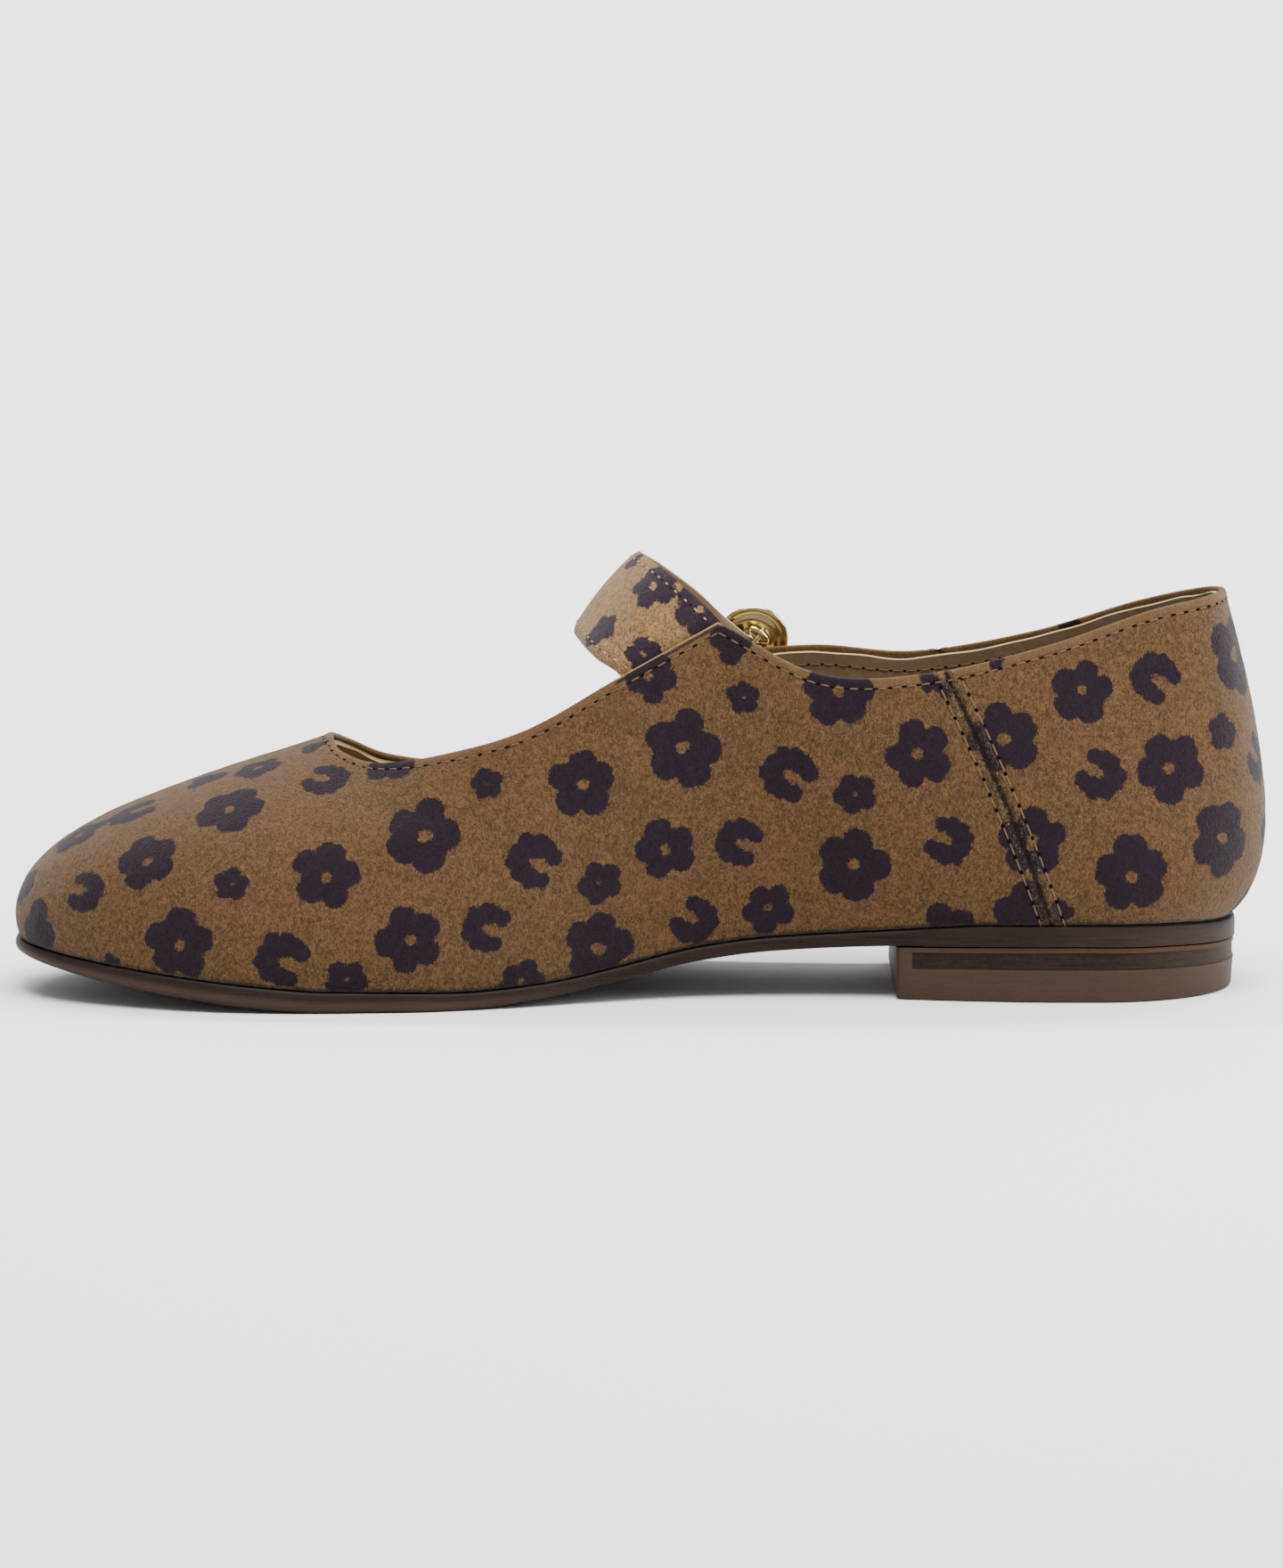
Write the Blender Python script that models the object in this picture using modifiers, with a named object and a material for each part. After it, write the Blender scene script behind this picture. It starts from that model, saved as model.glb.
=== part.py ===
"""Low-heeled ballet flat with an instep strap and an oval buckle: one right shoe, empty, on its sole.

Metres, +Z up, floor at z = 0. The toe points to -X, the inner side of the foot faces -Y and the
outer side, which carries the buckle, faces +Y. Shares along the shoe run from 0 at the heel end of
the outsole to 1 at its toe end.
"""

import math
from bisect import bisect_right
from collections import namedtuple

import bmesh
import bpy
from mathutils import Matrix, Vector

INNER, OUTER = -1, 1

# Sole sizes
SOLE_LENGTH = 0.2456
HEEL_WIDTH = 0.0560
WAIST_WIDTH = 0.0520
BALL_WIDTH = 0.0820
TOE_WIDTH = 0.0640
HEEL_END_RADIUS = 0.0285
TOE_END_LENGTH = 0.0540
TOE_ROUNDNESS = 2.3
TOE_SWING = 0.0060
OUTSOLE_THICKNESS = 0.0040
TOE_SPRING = 0.0078
SOLE_EDGE_ROUNDING = 0.0012

# Heel sizes
HEEL_HEIGHT = 0.0114
HEEL_LENGTH = 0.0690
HEEL_SETBACK = 0.0006
HEEL_TAPER = 0.0004
HEEL_RIB_HEIGHT = 0.0010
HEEL_BAND_HEIGHT = 0.0036
HEEL_BAND_DEPTH = 0.0004
HEEL_BAND_MARGIN = 0.0052
HEEL_EDGE_ROUNDING = 0.0007

# Upper sizes, heights above the floor
COLLAR_BACK_HEIGHT = 0.0803
COLLAR_SIDE_HEIGHT = 0.0653
EAR_REAR_HEIGHT = 0.0759
EAR_FRONT_HEIGHT = 0.0652
THROAT_HEIGHT = 0.0508
COLLAR_WIDTH = 0.0540
THROAT_WIDTH = 0.0580
UPPER_WALL = 0.0019
FEATHER_INSET = 0.0006
HEEL_OVERHANG = 0.0068
TOE_OVERHANG = 0.0007

# Insole, strap and buckle sizes
INSOLE_THICKNESS = 0.0024
INSOLE_EDGE_ROUNDING = 0.0007
STRAP_THICKNESS = 0.0012
STRAP_SPAN = 0.0560
STRAP_CROWN = 0.0009
STRAP_END_WIDTH = 0.0110
STRAP_CREST_HEIGHT = 0.0878
STRAP_ANCHOR_LENGTH = 0.0105
STRAP_TAIL_LENGTH = 0.0220
BUCKLE_LENGTH = 0.0148
BUCKLE_WIDTH = 0.0250
BUCKLE_BAND = 0.0043
BUCKLE_HALF_DEPTH = 0.0009
BAR_RADIUS = 0.0005
PRONG_RADIUS = 0.00045
HOLE_RADIUS = 0.0008
HOLE_SPACING = 0.0060

# Clearance between pieces that lie on each other
GAP = 0.0003

HEEL_X = (SOLE_LENGTH + TOE_OVERHANG - HEEL_OVERHANG) / 2
BREAST_SHARE = HEEL_LENGTH / SOLE_LENGTH
BALL_FLAT = (0.640, 0.740)

# Fineness of the meshes
SOLE_COLUMNS = 40
HEEL_COLUMNS = 22
BAND_ROWS = 11
STRAP_COLUMNS = 6
STRAP_STEPS = 3
BAR_STEPS = 12
END_STEPS = 5
HOLE_SIDES = 16
RING_COLUMNS = 36
WELD_DISTANCE = 0.00001

# Half widths of the sole either side of its centre line, by share of the length
PlanRow = namedtuple("PlanRow", "at inner outer")
PLAN = [
    PlanRow(0.00, 0.500 * HEEL_WIDTH, 0.500 * HEEL_WIDTH),
    PlanRow(0.15, 0.500 * HEEL_WIDTH, 0.505 * HEEL_WIDTH),
    PlanRow(0.22, 0.470 * HEEL_WIDTH, 0.510 * HEEL_WIDTH),
    PlanRow(0.29, 0.450 * WAIST_WIDTH, 0.550 * WAIST_WIDTH),
    PlanRow(0.37, 0.425 * WAIST_WIDTH, 0.565 * WAIST_WIDTH),
    PlanRow(0.44, 0.450 * WAIST_WIDTH, 0.605 * WAIST_WIDTH),
    PlanRow(0.52, 0.345 * BALL_WIDTH, 0.425 * BALL_WIDTH),
    PlanRow(0.60, 0.430 * BALL_WIDTH, 0.475 * BALL_WIDTH),
    PlanRow(0.68, 0.483 * BALL_WIDTH, 0.508 * BALL_WIDTH),
    PlanRow(0.74, 0.487 * BALL_WIDTH, 0.505 * BALL_WIDTH),
    PlanRow(0.82, 0.470 * BALL_WIDTH, 0.480 * BALL_WIDTH),
    PlanRow(0.91, 0.540 * TOE_WIDTH, 0.570 * TOE_WIDTH),
    PlanRow(1.00, 0.500 * TOE_WIDTH, 0.520 * TOE_WIDTH),
]
CENTRE_LINE = [(0.0, 0.0), (0.60, 0.0), (0.80, -0.35 * TOE_SWING), (1.0, -TOE_SWING)]

# Height of the outsole's underside: the heel lifts the back, the toe spring lifts the front
UNDERSIDE = [
    (0.000, 0.90 * HEEL_HEIGHT),
    (0.060, 0.98 * HEEL_HEIGHT),
    (0.140, 1.00 * HEEL_HEIGHT),
    (0.220, 0.98 * HEEL_HEIGHT),
    (0.290, 0.94 * HEEL_HEIGHT),
    (0.390, 0.82 * HEEL_HEIGHT),
    (0.440, 0.68 * HEEL_HEIGHT),
    (0.507, 0.37 * HEEL_HEIGHT),
    (0.568, 0.13 * HEEL_HEIGHT),
    (BALL_FLAT[0], 0.0),
    (BALL_FLAT[1], 0.0),
    (0.790, 0.09 * TOE_SPRING),
    (0.855, 0.32 * TOE_SPRING),
    (0.910, 0.56 * TOE_SPRING),
    (0.963, 0.86 * TOE_SPRING),
    (1.000, 1.08 * TOE_SPRING),
]
THICKNESS = [
    (0.00, 1.00 * OUTSOLE_THICKNESS),
    (0.20, 1.00 * OUTSOLE_THICKNESS),
    (0.29, 0.76 * OUTSOLE_THICKNESS),
    (0.37, 0.69 * OUTSOLE_THICKNESS),
    (0.52, 0.69 * OUTSOLE_THICKNESS),
    (0.60, 0.81 * OUTSOLE_THICKNESS),
    (0.70, 0.98 * OUTSOLE_THICKNESS),
    (0.80, 1.06 * OUTSOLE_THICKNESS),
    (0.90, 0.93 * OUTSOLE_THICKNESS),
    (0.96, 0.75 * OUTSOLE_THICKNESS),
    (1.00, 0.58 * OUTSOLE_THICKNESS),
]

# The upper is a band between the feather line on the sole and the topline. Each station is one
# line up the band: its foot by share of the length, its top point, and the wall's two handles as
# shares of the wall's height there. Corner stations break the topline at the ear.
Station = namedtuple("Station", "foot along across height rise flare drop spread columns corner")


def station(foot, along, across, height, rise, flare, drop, spread, columns=4, corner=False):
    return Station(foot, along, across, height, rise, flare, drop, spread, columns, corner)


HEEL_STATION = station(0.000, 0.0115, 0.0, COLLAR_BACK_HEIGHT, 0.16, 0.168, 0.48, 0.135)
INNER_STATIONS = [
    station(0.034, 0.0280, 0.215 * COLLAR_WIDTH, 0.993 * COLLAR_BACK_HEIGHT, 0.17, 0.150, 0.46, 0.125),
    station(0.082, 0.0800, 0.330 * COLLAR_WIDTH, 0.962 * COLLAR_BACK_HEIGHT, 0.20, 0.115, 0.43, 0.110),
    station(0.149, 0.1620, 0.425 * COLLAR_WIDTH, 0.884 * COLLAR_BACK_HEIGHT, 0.25, 0.085, 0.38, 0.090, 5),
    station(0.235, 0.2600, 0.480 * COLLAR_WIDTH, 1.008 * COLLAR_SIDE_HEIGHT, 0.30, 0.070, 0.34, 0.070),
    station(0.317, 0.3450, 0.487 * COLLAR_WIDTH, 1.010 * COLLAR_SIDE_HEIGHT, 0.32, 0.070, 0.32, 0.062, 3),
    station(0.395, 0.4260, 0.444 * COLLAR_WIDTH, 1.000 * EAR_REAR_HEIGHT, 0.33, 0.070, 0.34, 0.070, 4, True),
    station(0.475, 0.5070, 0.483 * THROAT_WIDTH, 1.000 * EAR_FRONT_HEIGHT, 0.34, 0.070, 0.34, 0.075, 4, True),
    station(0.560, 0.5810, 0.502 * THROAT_WIDTH, 1.085 * THROAT_HEIGHT, 0.35, 0.075, 0.34, 0.140),
    station(0.660, 0.6540, 0.455 * THROAT_WIDTH, 0.978 * THROAT_HEIGHT, 0.36, 0.080, 0.31, 0.290),
    station(0.760, 0.7030, 0.362 * THROAT_WIDTH, 0.937 * THROAT_HEIGHT, 0.38, 0.085, 0.28, 0.430),
    station(0.860, 0.7300, 0.241 * THROAT_WIDTH, 0.961 * THROAT_HEIGHT, 0.42, 0.090, 0.28, 0.590),
    station(0.940, 0.7385, 0.125 * THROAT_WIDTH, 0.988 * THROAT_HEIGHT, 0.48, 0.105, 0.285, 0.740),
]
TOE_STATION = station(1.000, 0.7400, 0.0, THROAT_HEIGHT, 0.530, 0.140, 0.290, 0.820)
OUTER_STATIONS = [
    station(0.940, 0.7375, 0.130 * THROAT_WIDTH, 0.978 * THROAT_HEIGHT, 0.48, 0.105, 0.28, 0.740),
    station(0.860, 0.7265, 0.252 * THROAT_WIDTH, 0.936 * THROAT_HEIGHT, 0.42, 0.090, 0.27, 0.600),
    station(0.760, 0.6975, 0.372 * THROAT_WIDTH, 0.862 * THROAT_HEIGHT, 0.38, 0.090, 0.26, 0.490),
    station(0.660, 0.6520, 0.462 * THROAT_WIDTH, 0.832 * THROAT_HEIGHT, 0.36, 0.090, 0.28, 0.350),
    station(0.560, 0.5810, 0.515 * THROAT_WIDTH, 0.915 * THROAT_HEIGHT, 0.35, 0.085, 0.32, 0.200),
    station(0.475, 0.5000, 0.515 * THROAT_WIDTH, 1.060 * THROAT_HEIGHT, 0.34, 0.080, 0.34, 0.120, 4),
    station(0.395, 0.4260, 0.520 * COLLAR_WIDTH, 0.965 * COLLAR_SIDE_HEIGHT, 0.33, 0.075, 0.34, 0.085, 4),
    station(0.317, 0.3450, 0.518 * COLLAR_WIDTH, 1.003 * COLLAR_SIDE_HEIGHT, 0.32, 0.072, 0.33, 0.072, 3),
    station(0.235, 0.2600, 0.498 * COLLAR_WIDTH, 0.986 * COLLAR_SIDE_HEIGHT, 0.30, 0.075, 0.34, 0.075, 3),
    station(0.149, 0.1620, 0.440 * COLLAR_WIDTH, 0.857 * COLLAR_BACK_HEIGHT, 0.25, 0.088, 0.38, 0.090, 5),
    station(0.082, 0.0800, 0.340 * COLLAR_WIDTH, 0.940 * COLLAR_BACK_HEIGHT, 0.20, 0.115, 0.43, 0.110),
    station(0.034, 0.0280, 0.215 * COLLAR_WIDTH, 0.984 * COLLAR_BACK_HEIGHT, 0.17, 0.150, 0.46, 0.125),
]
EAR_REAR, EAR_FRONT = 6, 7

# The strap between the ear and the buckle: its two edges at each line, the front edge first, as
# share of the sole's length, share of half the strap's span across, and share of the crest height
StrapLine = namedtuple("StrapLine", "front rear")
STRAP_LINES = [
    StrapLine((0.5250, -0.840, 0.783), (0.4580, -0.745, 0.953)),
    StrapLine((0.5385, -0.500, 0.809), (0.4800, -0.430, 0.992)),
    StrapLine((0.5435, 0.000, 0.818), (0.4905, 0.000, 1.000)),
    StrapLine((0.5230, 0.480, 0.802), (0.4730, 0.430, 0.958)),
    StrapLine((0.4930, 0.820, 0.768), (0.4430, 0.780, 0.884)),
]
BUCKLE_CENTRE = (0.4083, 0.944 * COLLAR_SIDE_HEIGHT)
BUCKLE_SLOPE = math.radians(42)
PRONG_LEAN = math.radians(47)

# Where the strap lies against the quarter: above the buckle, then below it, as shares of its length
STRAP_LANDING = (-0.62, -0.45)
STRAP_RUN_OUT = (0.36, 0.52, 0.78)

# The buckle's ring in section: distance in from its outer edge as a share of the band, and height
# as a share of its half depth. Two ridges run round it, and its middle is dished.
RING_SECTION = [
    (0.00, 0.00),
    (0.04, 0.55),
    (0.13, 0.80),
    (0.22, 0.60),
    (0.27, 0.55),
    (0.35, 0.90),
    (0.44, 1.00),
    (0.55, 0.70),
    (0.72, 0.45),
    (0.87, 0.52),
    (0.96, 0.35),
    (1.00, 0.00),
]


def share_to_x(share):
    return HEEL_X - share * SOLE_LENGTH


def monotone(rows):
    """A smooth curve through (at, value) rows that never overshoots them."""
    at = [row[0] for row in rows]
    value = [row[1] for row in rows]
    slope = [(value[i + 1] - value[i]) / (at[i + 1] - at[i]) for i in range(len(at) - 1)]
    tangent = [slope[0]]
    for before, after in zip(slope, slope[1:]):
        level = before * after <= 0.0
        tangent.append(0.0 if level else 2.0 * before * after / (before + after))
    tangent.append(slope[-1])

    def curve(share):
        i = min(max(bisect_right(at, share) - 1, 0), len(at) - 2)
        step = at[i + 1] - at[i]
        t = min(max((share - at[i]) / step, 0.0), 1.0)
        return hermite(value[i], value[i + 1], tangent[i] * step, tangent[i + 1] * step, t)

    return curve


def hermite(start, end, start_tangent, end_tangent, t):
    t2, t3 = t * t, t * t * t
    return (
        (2 * t3 - 3 * t2 + 1) * start
        + (t3 - 2 * t2 + t) * start_tangent
        + (3 * t2 - 2 * t3) * end
        + (t3 - t2) * end_tangent
    )


def bezier(p0, p1, p2, p3, t):
    r = 1.0 - t
    return p0 * r**3 + p1 * (3 * r * r * t) + p2 * (3 * r * t * t) + p3 * t**3


half_width = {
    INNER: monotone([(row.at, row.inner) for row in PLAN]),
    OUTER: monotone([(row.at, row.outer) for row in PLAN]),
}
centre_line = monotone(CENTRE_LINE)
underside = monotone(UNDERSIDE)
thickness = monotone(THICKNESS)


def sole_top(share):
    return underside(share) + thickness(share)


def end_rounding(share):
    """How far the outline has opened from its two rounded ends: 0 at either tip, 1 between them."""
    from_heel = min(share * SOLE_LENGTH / HEEL_END_RADIUS, 1.0)
    from_toe = min((1.0 - share) * SOLE_LENGTH / TOE_END_LENGTH, 1.0)
    heel = math.sqrt(max(1.0 - (1.0 - from_heel) ** 2, 0.0))
    toe = max(1.0 - (1.0 - from_toe) ** TOE_ROUNDNESS, 0.0) ** (1.0 / TOE_ROUNDNESS)
    return heel * toe


def loop_share(turn):
    """Share of the length at a turn round the outline: 0 heel, up the inner side to 0.5 toe, and back."""
    return (1.0 - math.cos(2.0 * math.pi * turn)) / 2.0


def turn_at(share, side):
    turn = math.acos(1.0 - 2.0 * min(max(share, 0.0), 1.0)) / (2.0 * math.pi)
    return turn if side == INNER else 1.0 - turn


def outline(turn, inset=0.0):
    """A point of the sole's outline in plan, moved in from the edge by the inset."""

    def edge(t):
        share = loop_share(t)
        side = INNER if (t % 1.0) < 0.5 else OUTER
        across = centre_line(share) + side * half_width[side](share) * end_rounding(share)
        return Vector((share_to_x(share), across))

    step = 0.002
    along = edge(turn + step) - edge(turn - step)
    outward = Vector((-along.y, along.x)).normalized()
    return edge(turn) - outward * inset, outward


def mesh_object(name, vertices, faces, material, group):
    mesh = bpy.data.meshes.new(name)
    mesh.from_pydata([tuple(v) for v in vertices], [], faces)
    mesh.update()
    obj = bpy.data.objects.new(name, mesh)
    mesh.materials.append(material)
    group.objects.link(obj)
    return obj


def shade(obj, angle=40.0):
    obj.data.shade_smooth()
    obj.data.set_sharp_from_angle(angle=math.radians(angle))


def lofted(rings):
    """A skin over closed rings of equal length. Its end caps tie each point to the one across the shoe."""
    count = len(rings[0])
    vertices = [point for ring in rings for point in ring]
    faces = []
    for r in range(len(rings) - 1):
        for i in range(count):
            j = (i + 1) % count
            faces.append((r * count + i, r * count + j, (r + 1) * count + j, (r + 1) * count + i))
    for base, flip in ((0, True), ((len(rings) - 1) * count, False)):
        for face in cross_ties(count):
            tie = [base + i for i in face]
            faces.append(tie[::-1] if flip else tie)
    return vertices, faces


def cross_ties(count):
    """Faces that join point i of a ring to point -i, for a ring whose point 0 lies on one end."""
    half = count // 2
    faces = [(0, 1, count - 1)]
    faces += [(i, i + 1, count - i - 1, count - i) for i in range(1, half - 1)]
    if count % 2:
        faces.append((half - 1, half, half + 1, half + 2))
    else:
        faces.append((half - 1, half, half + 1))
    return faces


def outward_faces(obj):
    """Makes every face of a closed mesh point out."""
    mesh = bmesh.new()
    mesh.from_mesh(obj.data)
    bmesh.ops.recalc_face_normals(mesh, faces=mesh.faces[:])
    mesh.to_mesh(obj.data)
    mesh.free()


def plan_ring(turns, inset, height):
    """A closed ring round the sole's outline, its height read from the share of the length."""
    ring = []
    for turn in turns:
        point, _ = outline(turn, inset)
        ring.append(Vector((point.x, point.y, height(loop_share(turn)))))
    return ring


def whole_turns():
    return [i / (2 * SOLE_COLUMNS) for i in range(2 * SOLE_COLUMNS)]


def build_outsole(material, group):
    """The thin sole from heel to toe: flat under the ball, with a rounded edge."""

    def at_level(level):
        return lambda share: underside(share) + level * thickness(share)

    rings = [
        plan_ring(whole_turns(), SOLE_EDGE_ROUNDING, at_level(0.00)),
        plan_ring(whole_turns(), 0.35 * SOLE_EDGE_ROUNDING, at_level(0.12)),
        plan_ring(whole_turns(), 0.0, at_level(0.42)),
        plan_ring(whole_turns(), 0.0, at_level(0.80)),
        plan_ring(whole_turns(), 0.12 * SOLE_EDGE_ROUNDING, at_level(1.00)),
    ]
    vertices, faces = lofted(rings)
    obj = mesh_object("outsole", vertices, faces, material, group)
    outward_faces(obj)
    shade(obj)
    return obj


def build_insole(material, group):
    """The footbed inside the upper, on the outsole."""
    inset = FEATHER_INSET + UPPER_WALL + 1.5 * GAP

    def at_level(level):
        return lambda share: sole_top(share) + GAP + level * INSOLE_THICKNESS

    rings = [
        plan_ring(whole_turns(), inset, at_level(0.0)),
        plan_ring(whole_turns(), inset, at_level(0.7)),
        plan_ring(whole_turns(), inset + INSOLE_EDGE_ROUNDING, at_level(1.0)),
    ]
    vertices, faces = lofted(rings)
    obj = mesh_object("insole", vertices, faces, material, group)
    outward_faces(obj)
    shade(obj)
    return obj


def build_heel(material, group):
    """The heel block under the back of the outsole, with a shallow band sunk in its side."""
    reach = turn_at(BREAST_SHARE, INNER)
    margin = turn_at(BREAST_SHARE - HEEL_BAND_MARGIN / SOLE_LENGTH, INNER)
    band_end = turn_at(BREAST_SHARE - 1.25 * HEEL_BAND_MARGIN / SOLE_LENGTH, INNER)
    inner_turns = [band_end * i / HEEL_COLUMNS for i in range(1, HEEL_COLUMNS + 1)] + [margin, reach]
    turns = [0.0] + inner_turns + [1.0 - turn for turn in reversed(inner_turns)]
    # Each level: height as a share of the block, and extra inset; the band's levels lie deeper
    rib = 1.0 - HEEL_RIB_HEIGHT / HEEL_HEIGHT
    band = rib - HEEL_BAND_HEIGHT / HEEL_HEIGHT
    step = 0.25 * HEEL_BAND_DEPTH / HEEL_HEIGHT
    foot = HEEL_EDGE_ROUNDING / HEEL_HEIGHT
    levels = [
        (1.0, 0.0, False),
        (rib, 0.0, False),
        (rib - step, 0.0, True),
        (band + step, 0.0, True),
        (band, 0.0, False),
        (foot, HEEL_TAPER, False),
        (0.3 * foot, HEEL_TAPER + 0.3 * HEEL_EDGE_ROUNDING, False),
        (0.0, HEEL_TAPER + HEEL_EDGE_ROUNDING, False),
    ]
    rings = []
    for level, extra, sunk in levels:
        ring = []
        for turn in turns:
            from_heel = min(turn, 1.0 - turn)
            deep = HEEL_BAND_DEPTH if sunk and from_heel <= band_end else 0.0
            point, _ = outline(turn, HEEL_SETBACK + extra + deep)
            share = loop_share(turn)
            top = underside(share) - GAP
            x = share_to_x(BREAST_SHARE) if from_heel >= reach else point.x
            ring.append(Vector((x, point.y, level * top)))
        rings.append(ring)
    vertices, faces = lofted(rings)
    obj = mesh_object("heel", vertices, faces, material, group)
    outward_faces(obj)
    shade(obj)
    return obj


def loop_stations():
    """All stations round the upper with their side: heel, inner side, toe, outer side."""
    stations = [(HEEL_STATION, INNER)]
    stations += [(row, INNER) for row in INNER_STATIONS]
    stations += [(TOE_STATION, OUTER)]
    stations += [(row, OUTER) for row in OUTER_STATIONS]
    return stations


class Upper:
    """The outer face of the upper, as lines up the wall from the feather line to the topline."""

    def __init__(self):
        self.stations = loop_stations()
        self.count = len(self.stations)

    def blended(self, value, place, breaks=False):
        """A value read between stations on a smooth closed curve, which may break at corners."""
        i = math.floor(place)
        t = place - i
        before, start, end, after = (value(i + k) for k in (-1, 0, 1, 2))
        start_tangent = (end - before) / 2
        end_tangent = (after - start) / 2
        if breaks and self.stations[i % self.count][0].corner:
            start_tangent = end - start
        if breaks and self.stations[(i + 1) % self.count][0].corner:
            end_tangent = end - start
        return hermite(start, end, start_tangent, end_tangent, t)

    def foot_turn(self, index):
        row, side = self.stations[index % self.count]
        turn = 0.0 if index % self.count == 0 else turn_at(row.foot, side)
        return turn + index // self.count

    def top(self, index):
        row, side = self.stations[index % self.count]
        return Vector((share_to_x(row.along), side * row.across, row.height))

    def field(self, name, place):
        return self.blended(lambda i: getattr(self.stations[i % self.count][0], name), place)

    def line(self, place):
        """The four control points of the wall at a place round the upper."""
        turn = self.blended(self.foot_turn, place)
        plan, outward = outline(turn, FEATHER_INSET)
        foot = Vector((plan.x, plan.y, sole_top(loop_share(turn)) + GAP))
        top = self.blended(self.top, place, breaks=True)
        out = Vector((outward.x, outward.y, 0.0))
        up = Vector((0.0, 0.0, 1.0))
        tall = top.z - foot.z
        low = foot + up * (self.field("rise", place) * tall) + out * (self.field("flare", place) * tall)
        high = top - up * (self.field("drop", place) * tall) + out * (self.field("spread", place) * tall)
        return foot, low, high, top

    def point(self, place, height):
        return bezier(*self.line(place), height)

    def normal(self, place, height):
        step = 0.01
        across = self.point(place + step, height) - self.point(place - step, height)
        up = self.point(place, min(height + step, 1.0)) - self.point(place, height - step)
        return up.cross(across).normalized()

    def places(self):
        """The places of the band's columns, with each station on a column."""
        found = []
        for i, (row, _) in enumerate(self.stations):
            found += [i + k / row.columns for k in range(row.columns)]
        return found

    def side_point(self, x, z, start_place, start_height=0.8):
        """The place and height on the wall that a side view shows at (x, z)."""
        place, height = start_place, start_height
        step = 0.001
        for _ in range(12):
            here = self.point(place, height)
            by_place = (self.point(place + step, height) - here) / step
            by_height = (self.point(place, height + step) - here) / step
            miss_x, miss_z = x - here.x, z - here.z
            det = by_place.x * by_height.z - by_height.x * by_place.z
            place += (miss_x * by_height.z - miss_z * by_height.x) / det
            height += (miss_z * by_place.x - miss_x * by_place.z) / det
        return place, height


upper = Upper()


def build_upper(material, group):
    """The hollow upper: vamp, quarters and back in one wall, open at the collar and underneath."""
    places = upper.places()
    vertices = [upper.point(place, r / BAND_ROWS) for r in range(BAND_ROWS + 1) for place in places]
    count = len(places)
    faces = []
    for r in range(BAND_ROWS):
        for i in range(count):
            j = (i + 1) % count
            faces.append((r * count + j, r * count + i, (r + 1) * count + i, (r + 1) * count + j))
    obj = mesh_object("upper", vertices, faces, material, group)
    shade(obj)
    wall = obj.modifiers.new("wall", "SOLIDIFY")
    wall.thickness = UPPER_WALL
    wall.offset = -1.0
    wall.use_even_offset = True
    wall.use_rim = True
    return obj


def side_view(share, height):
    """A point of the side view, as x and z."""
    return Vector((share_to_x(share), height))


class BuckleSeat:
    """Axes on the outer quarter at the buckle: u down the strap, v across it, n off the wall."""

    def __init__(self):
        self.centre = side_view(*BUCKLE_CENTRE)
        self.down = Vector((math.cos(BUCKLE_SLOPE), -math.sin(BUCKLE_SLOPE)))
        self.rear = Vector((math.sin(BUCKLE_SLOPE), math.cos(BUCKLE_SLOPE)))
        self.place = upper.count - EAR_REAR
        place, height = upper.side_point(self.centre.x, self.centre.y, self.place)
        self.origin = upper.point(place, height)
        self.n = upper.normal(place, height)
        slope = Vector((self.down.x, 0.0, self.down.y))
        self.u = (slope - self.n * slope.dot(self.n)).normalized()
        self.v = self.u.cross(self.n).normalized()
        if self.v.z < 0.0:
            self.v = -self.v

    def at(self, u, v, n):
        return self.origin + self.u * u + self.v * v + self.n * n

    def on_wall(self, u, v, n):
        """A point at a distance n off the wall itself, below the buckle."""
        flat = self.centre + self.down * u + self.rear * v
        place, height = upper.side_point(flat.x, flat.y, self.place)
        return upper.point(place, height) + upper.normal(place, height) * n


seat = BuckleSeat()


def strap_over_bar(u):
    """Height of the strap's outer face off the wall as it climbs over the buckle's bar."""
    slot = BUCKLE_LENGTH / 2 - BUCKLE_BAND
    rise = 2 * BAR_RADIUS + GAP
    low = GAP + STRAP_THICKNESS
    away = min(abs(u) / slot, 1.0)
    return low + rise * (1.0 + math.cos(math.pi * away)) / 2


def strap_edges():
    """The strap's outer face as pairs of edge points, from inside the ear to the free end."""
    pairs = []
    inside = UPPER_WALL + GAP
    deep = 1.0 - STRAP_ANCHOR_LENGTH / EAR_FRONT_HEIGHT
    for height in (deep, (1.0 + deep) / 2, 1.0):
        pair = []
        for place in (EAR_FRONT - 0.05, EAR_REAR - 0.05):
            pair.append(upper.point(place, height) - upper.normal(place, height) * inside)
        pairs.append(tuple(pair))
    half_span = STRAP_SPAN / 2
    for line in STRAP_LINES:
        pair = []
        for along, across, tall in line:
            pair.append(Vector((share_to_x(along), across * half_span, tall * STRAP_CREST_HEIGHT)))
        pairs.append(tuple(pair))
    half = STRAP_END_WIDTH / 2
    low = GAP + STRAP_THICKNESS
    landing = STRAP_LANDING[0] * BUCKLE_LENGTH
    pairs.append((seat.at(landing, -half, low), seat.at(landing, half, low)))
    return pairs


def through(points, place):
    """A point on a smooth curve through the given points."""
    i = min(int(place), len(points) - 2)
    t = place - i
    start, end = points[i], points[i + 1]
    before = points[i - 1] if i > 0 else start * 2 - end
    after = points[i + 2] if i + 2 < len(points) else end * 2 - start
    return hermite(start, end, (end - before) / 2, (after - start) / 2, t)


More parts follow.
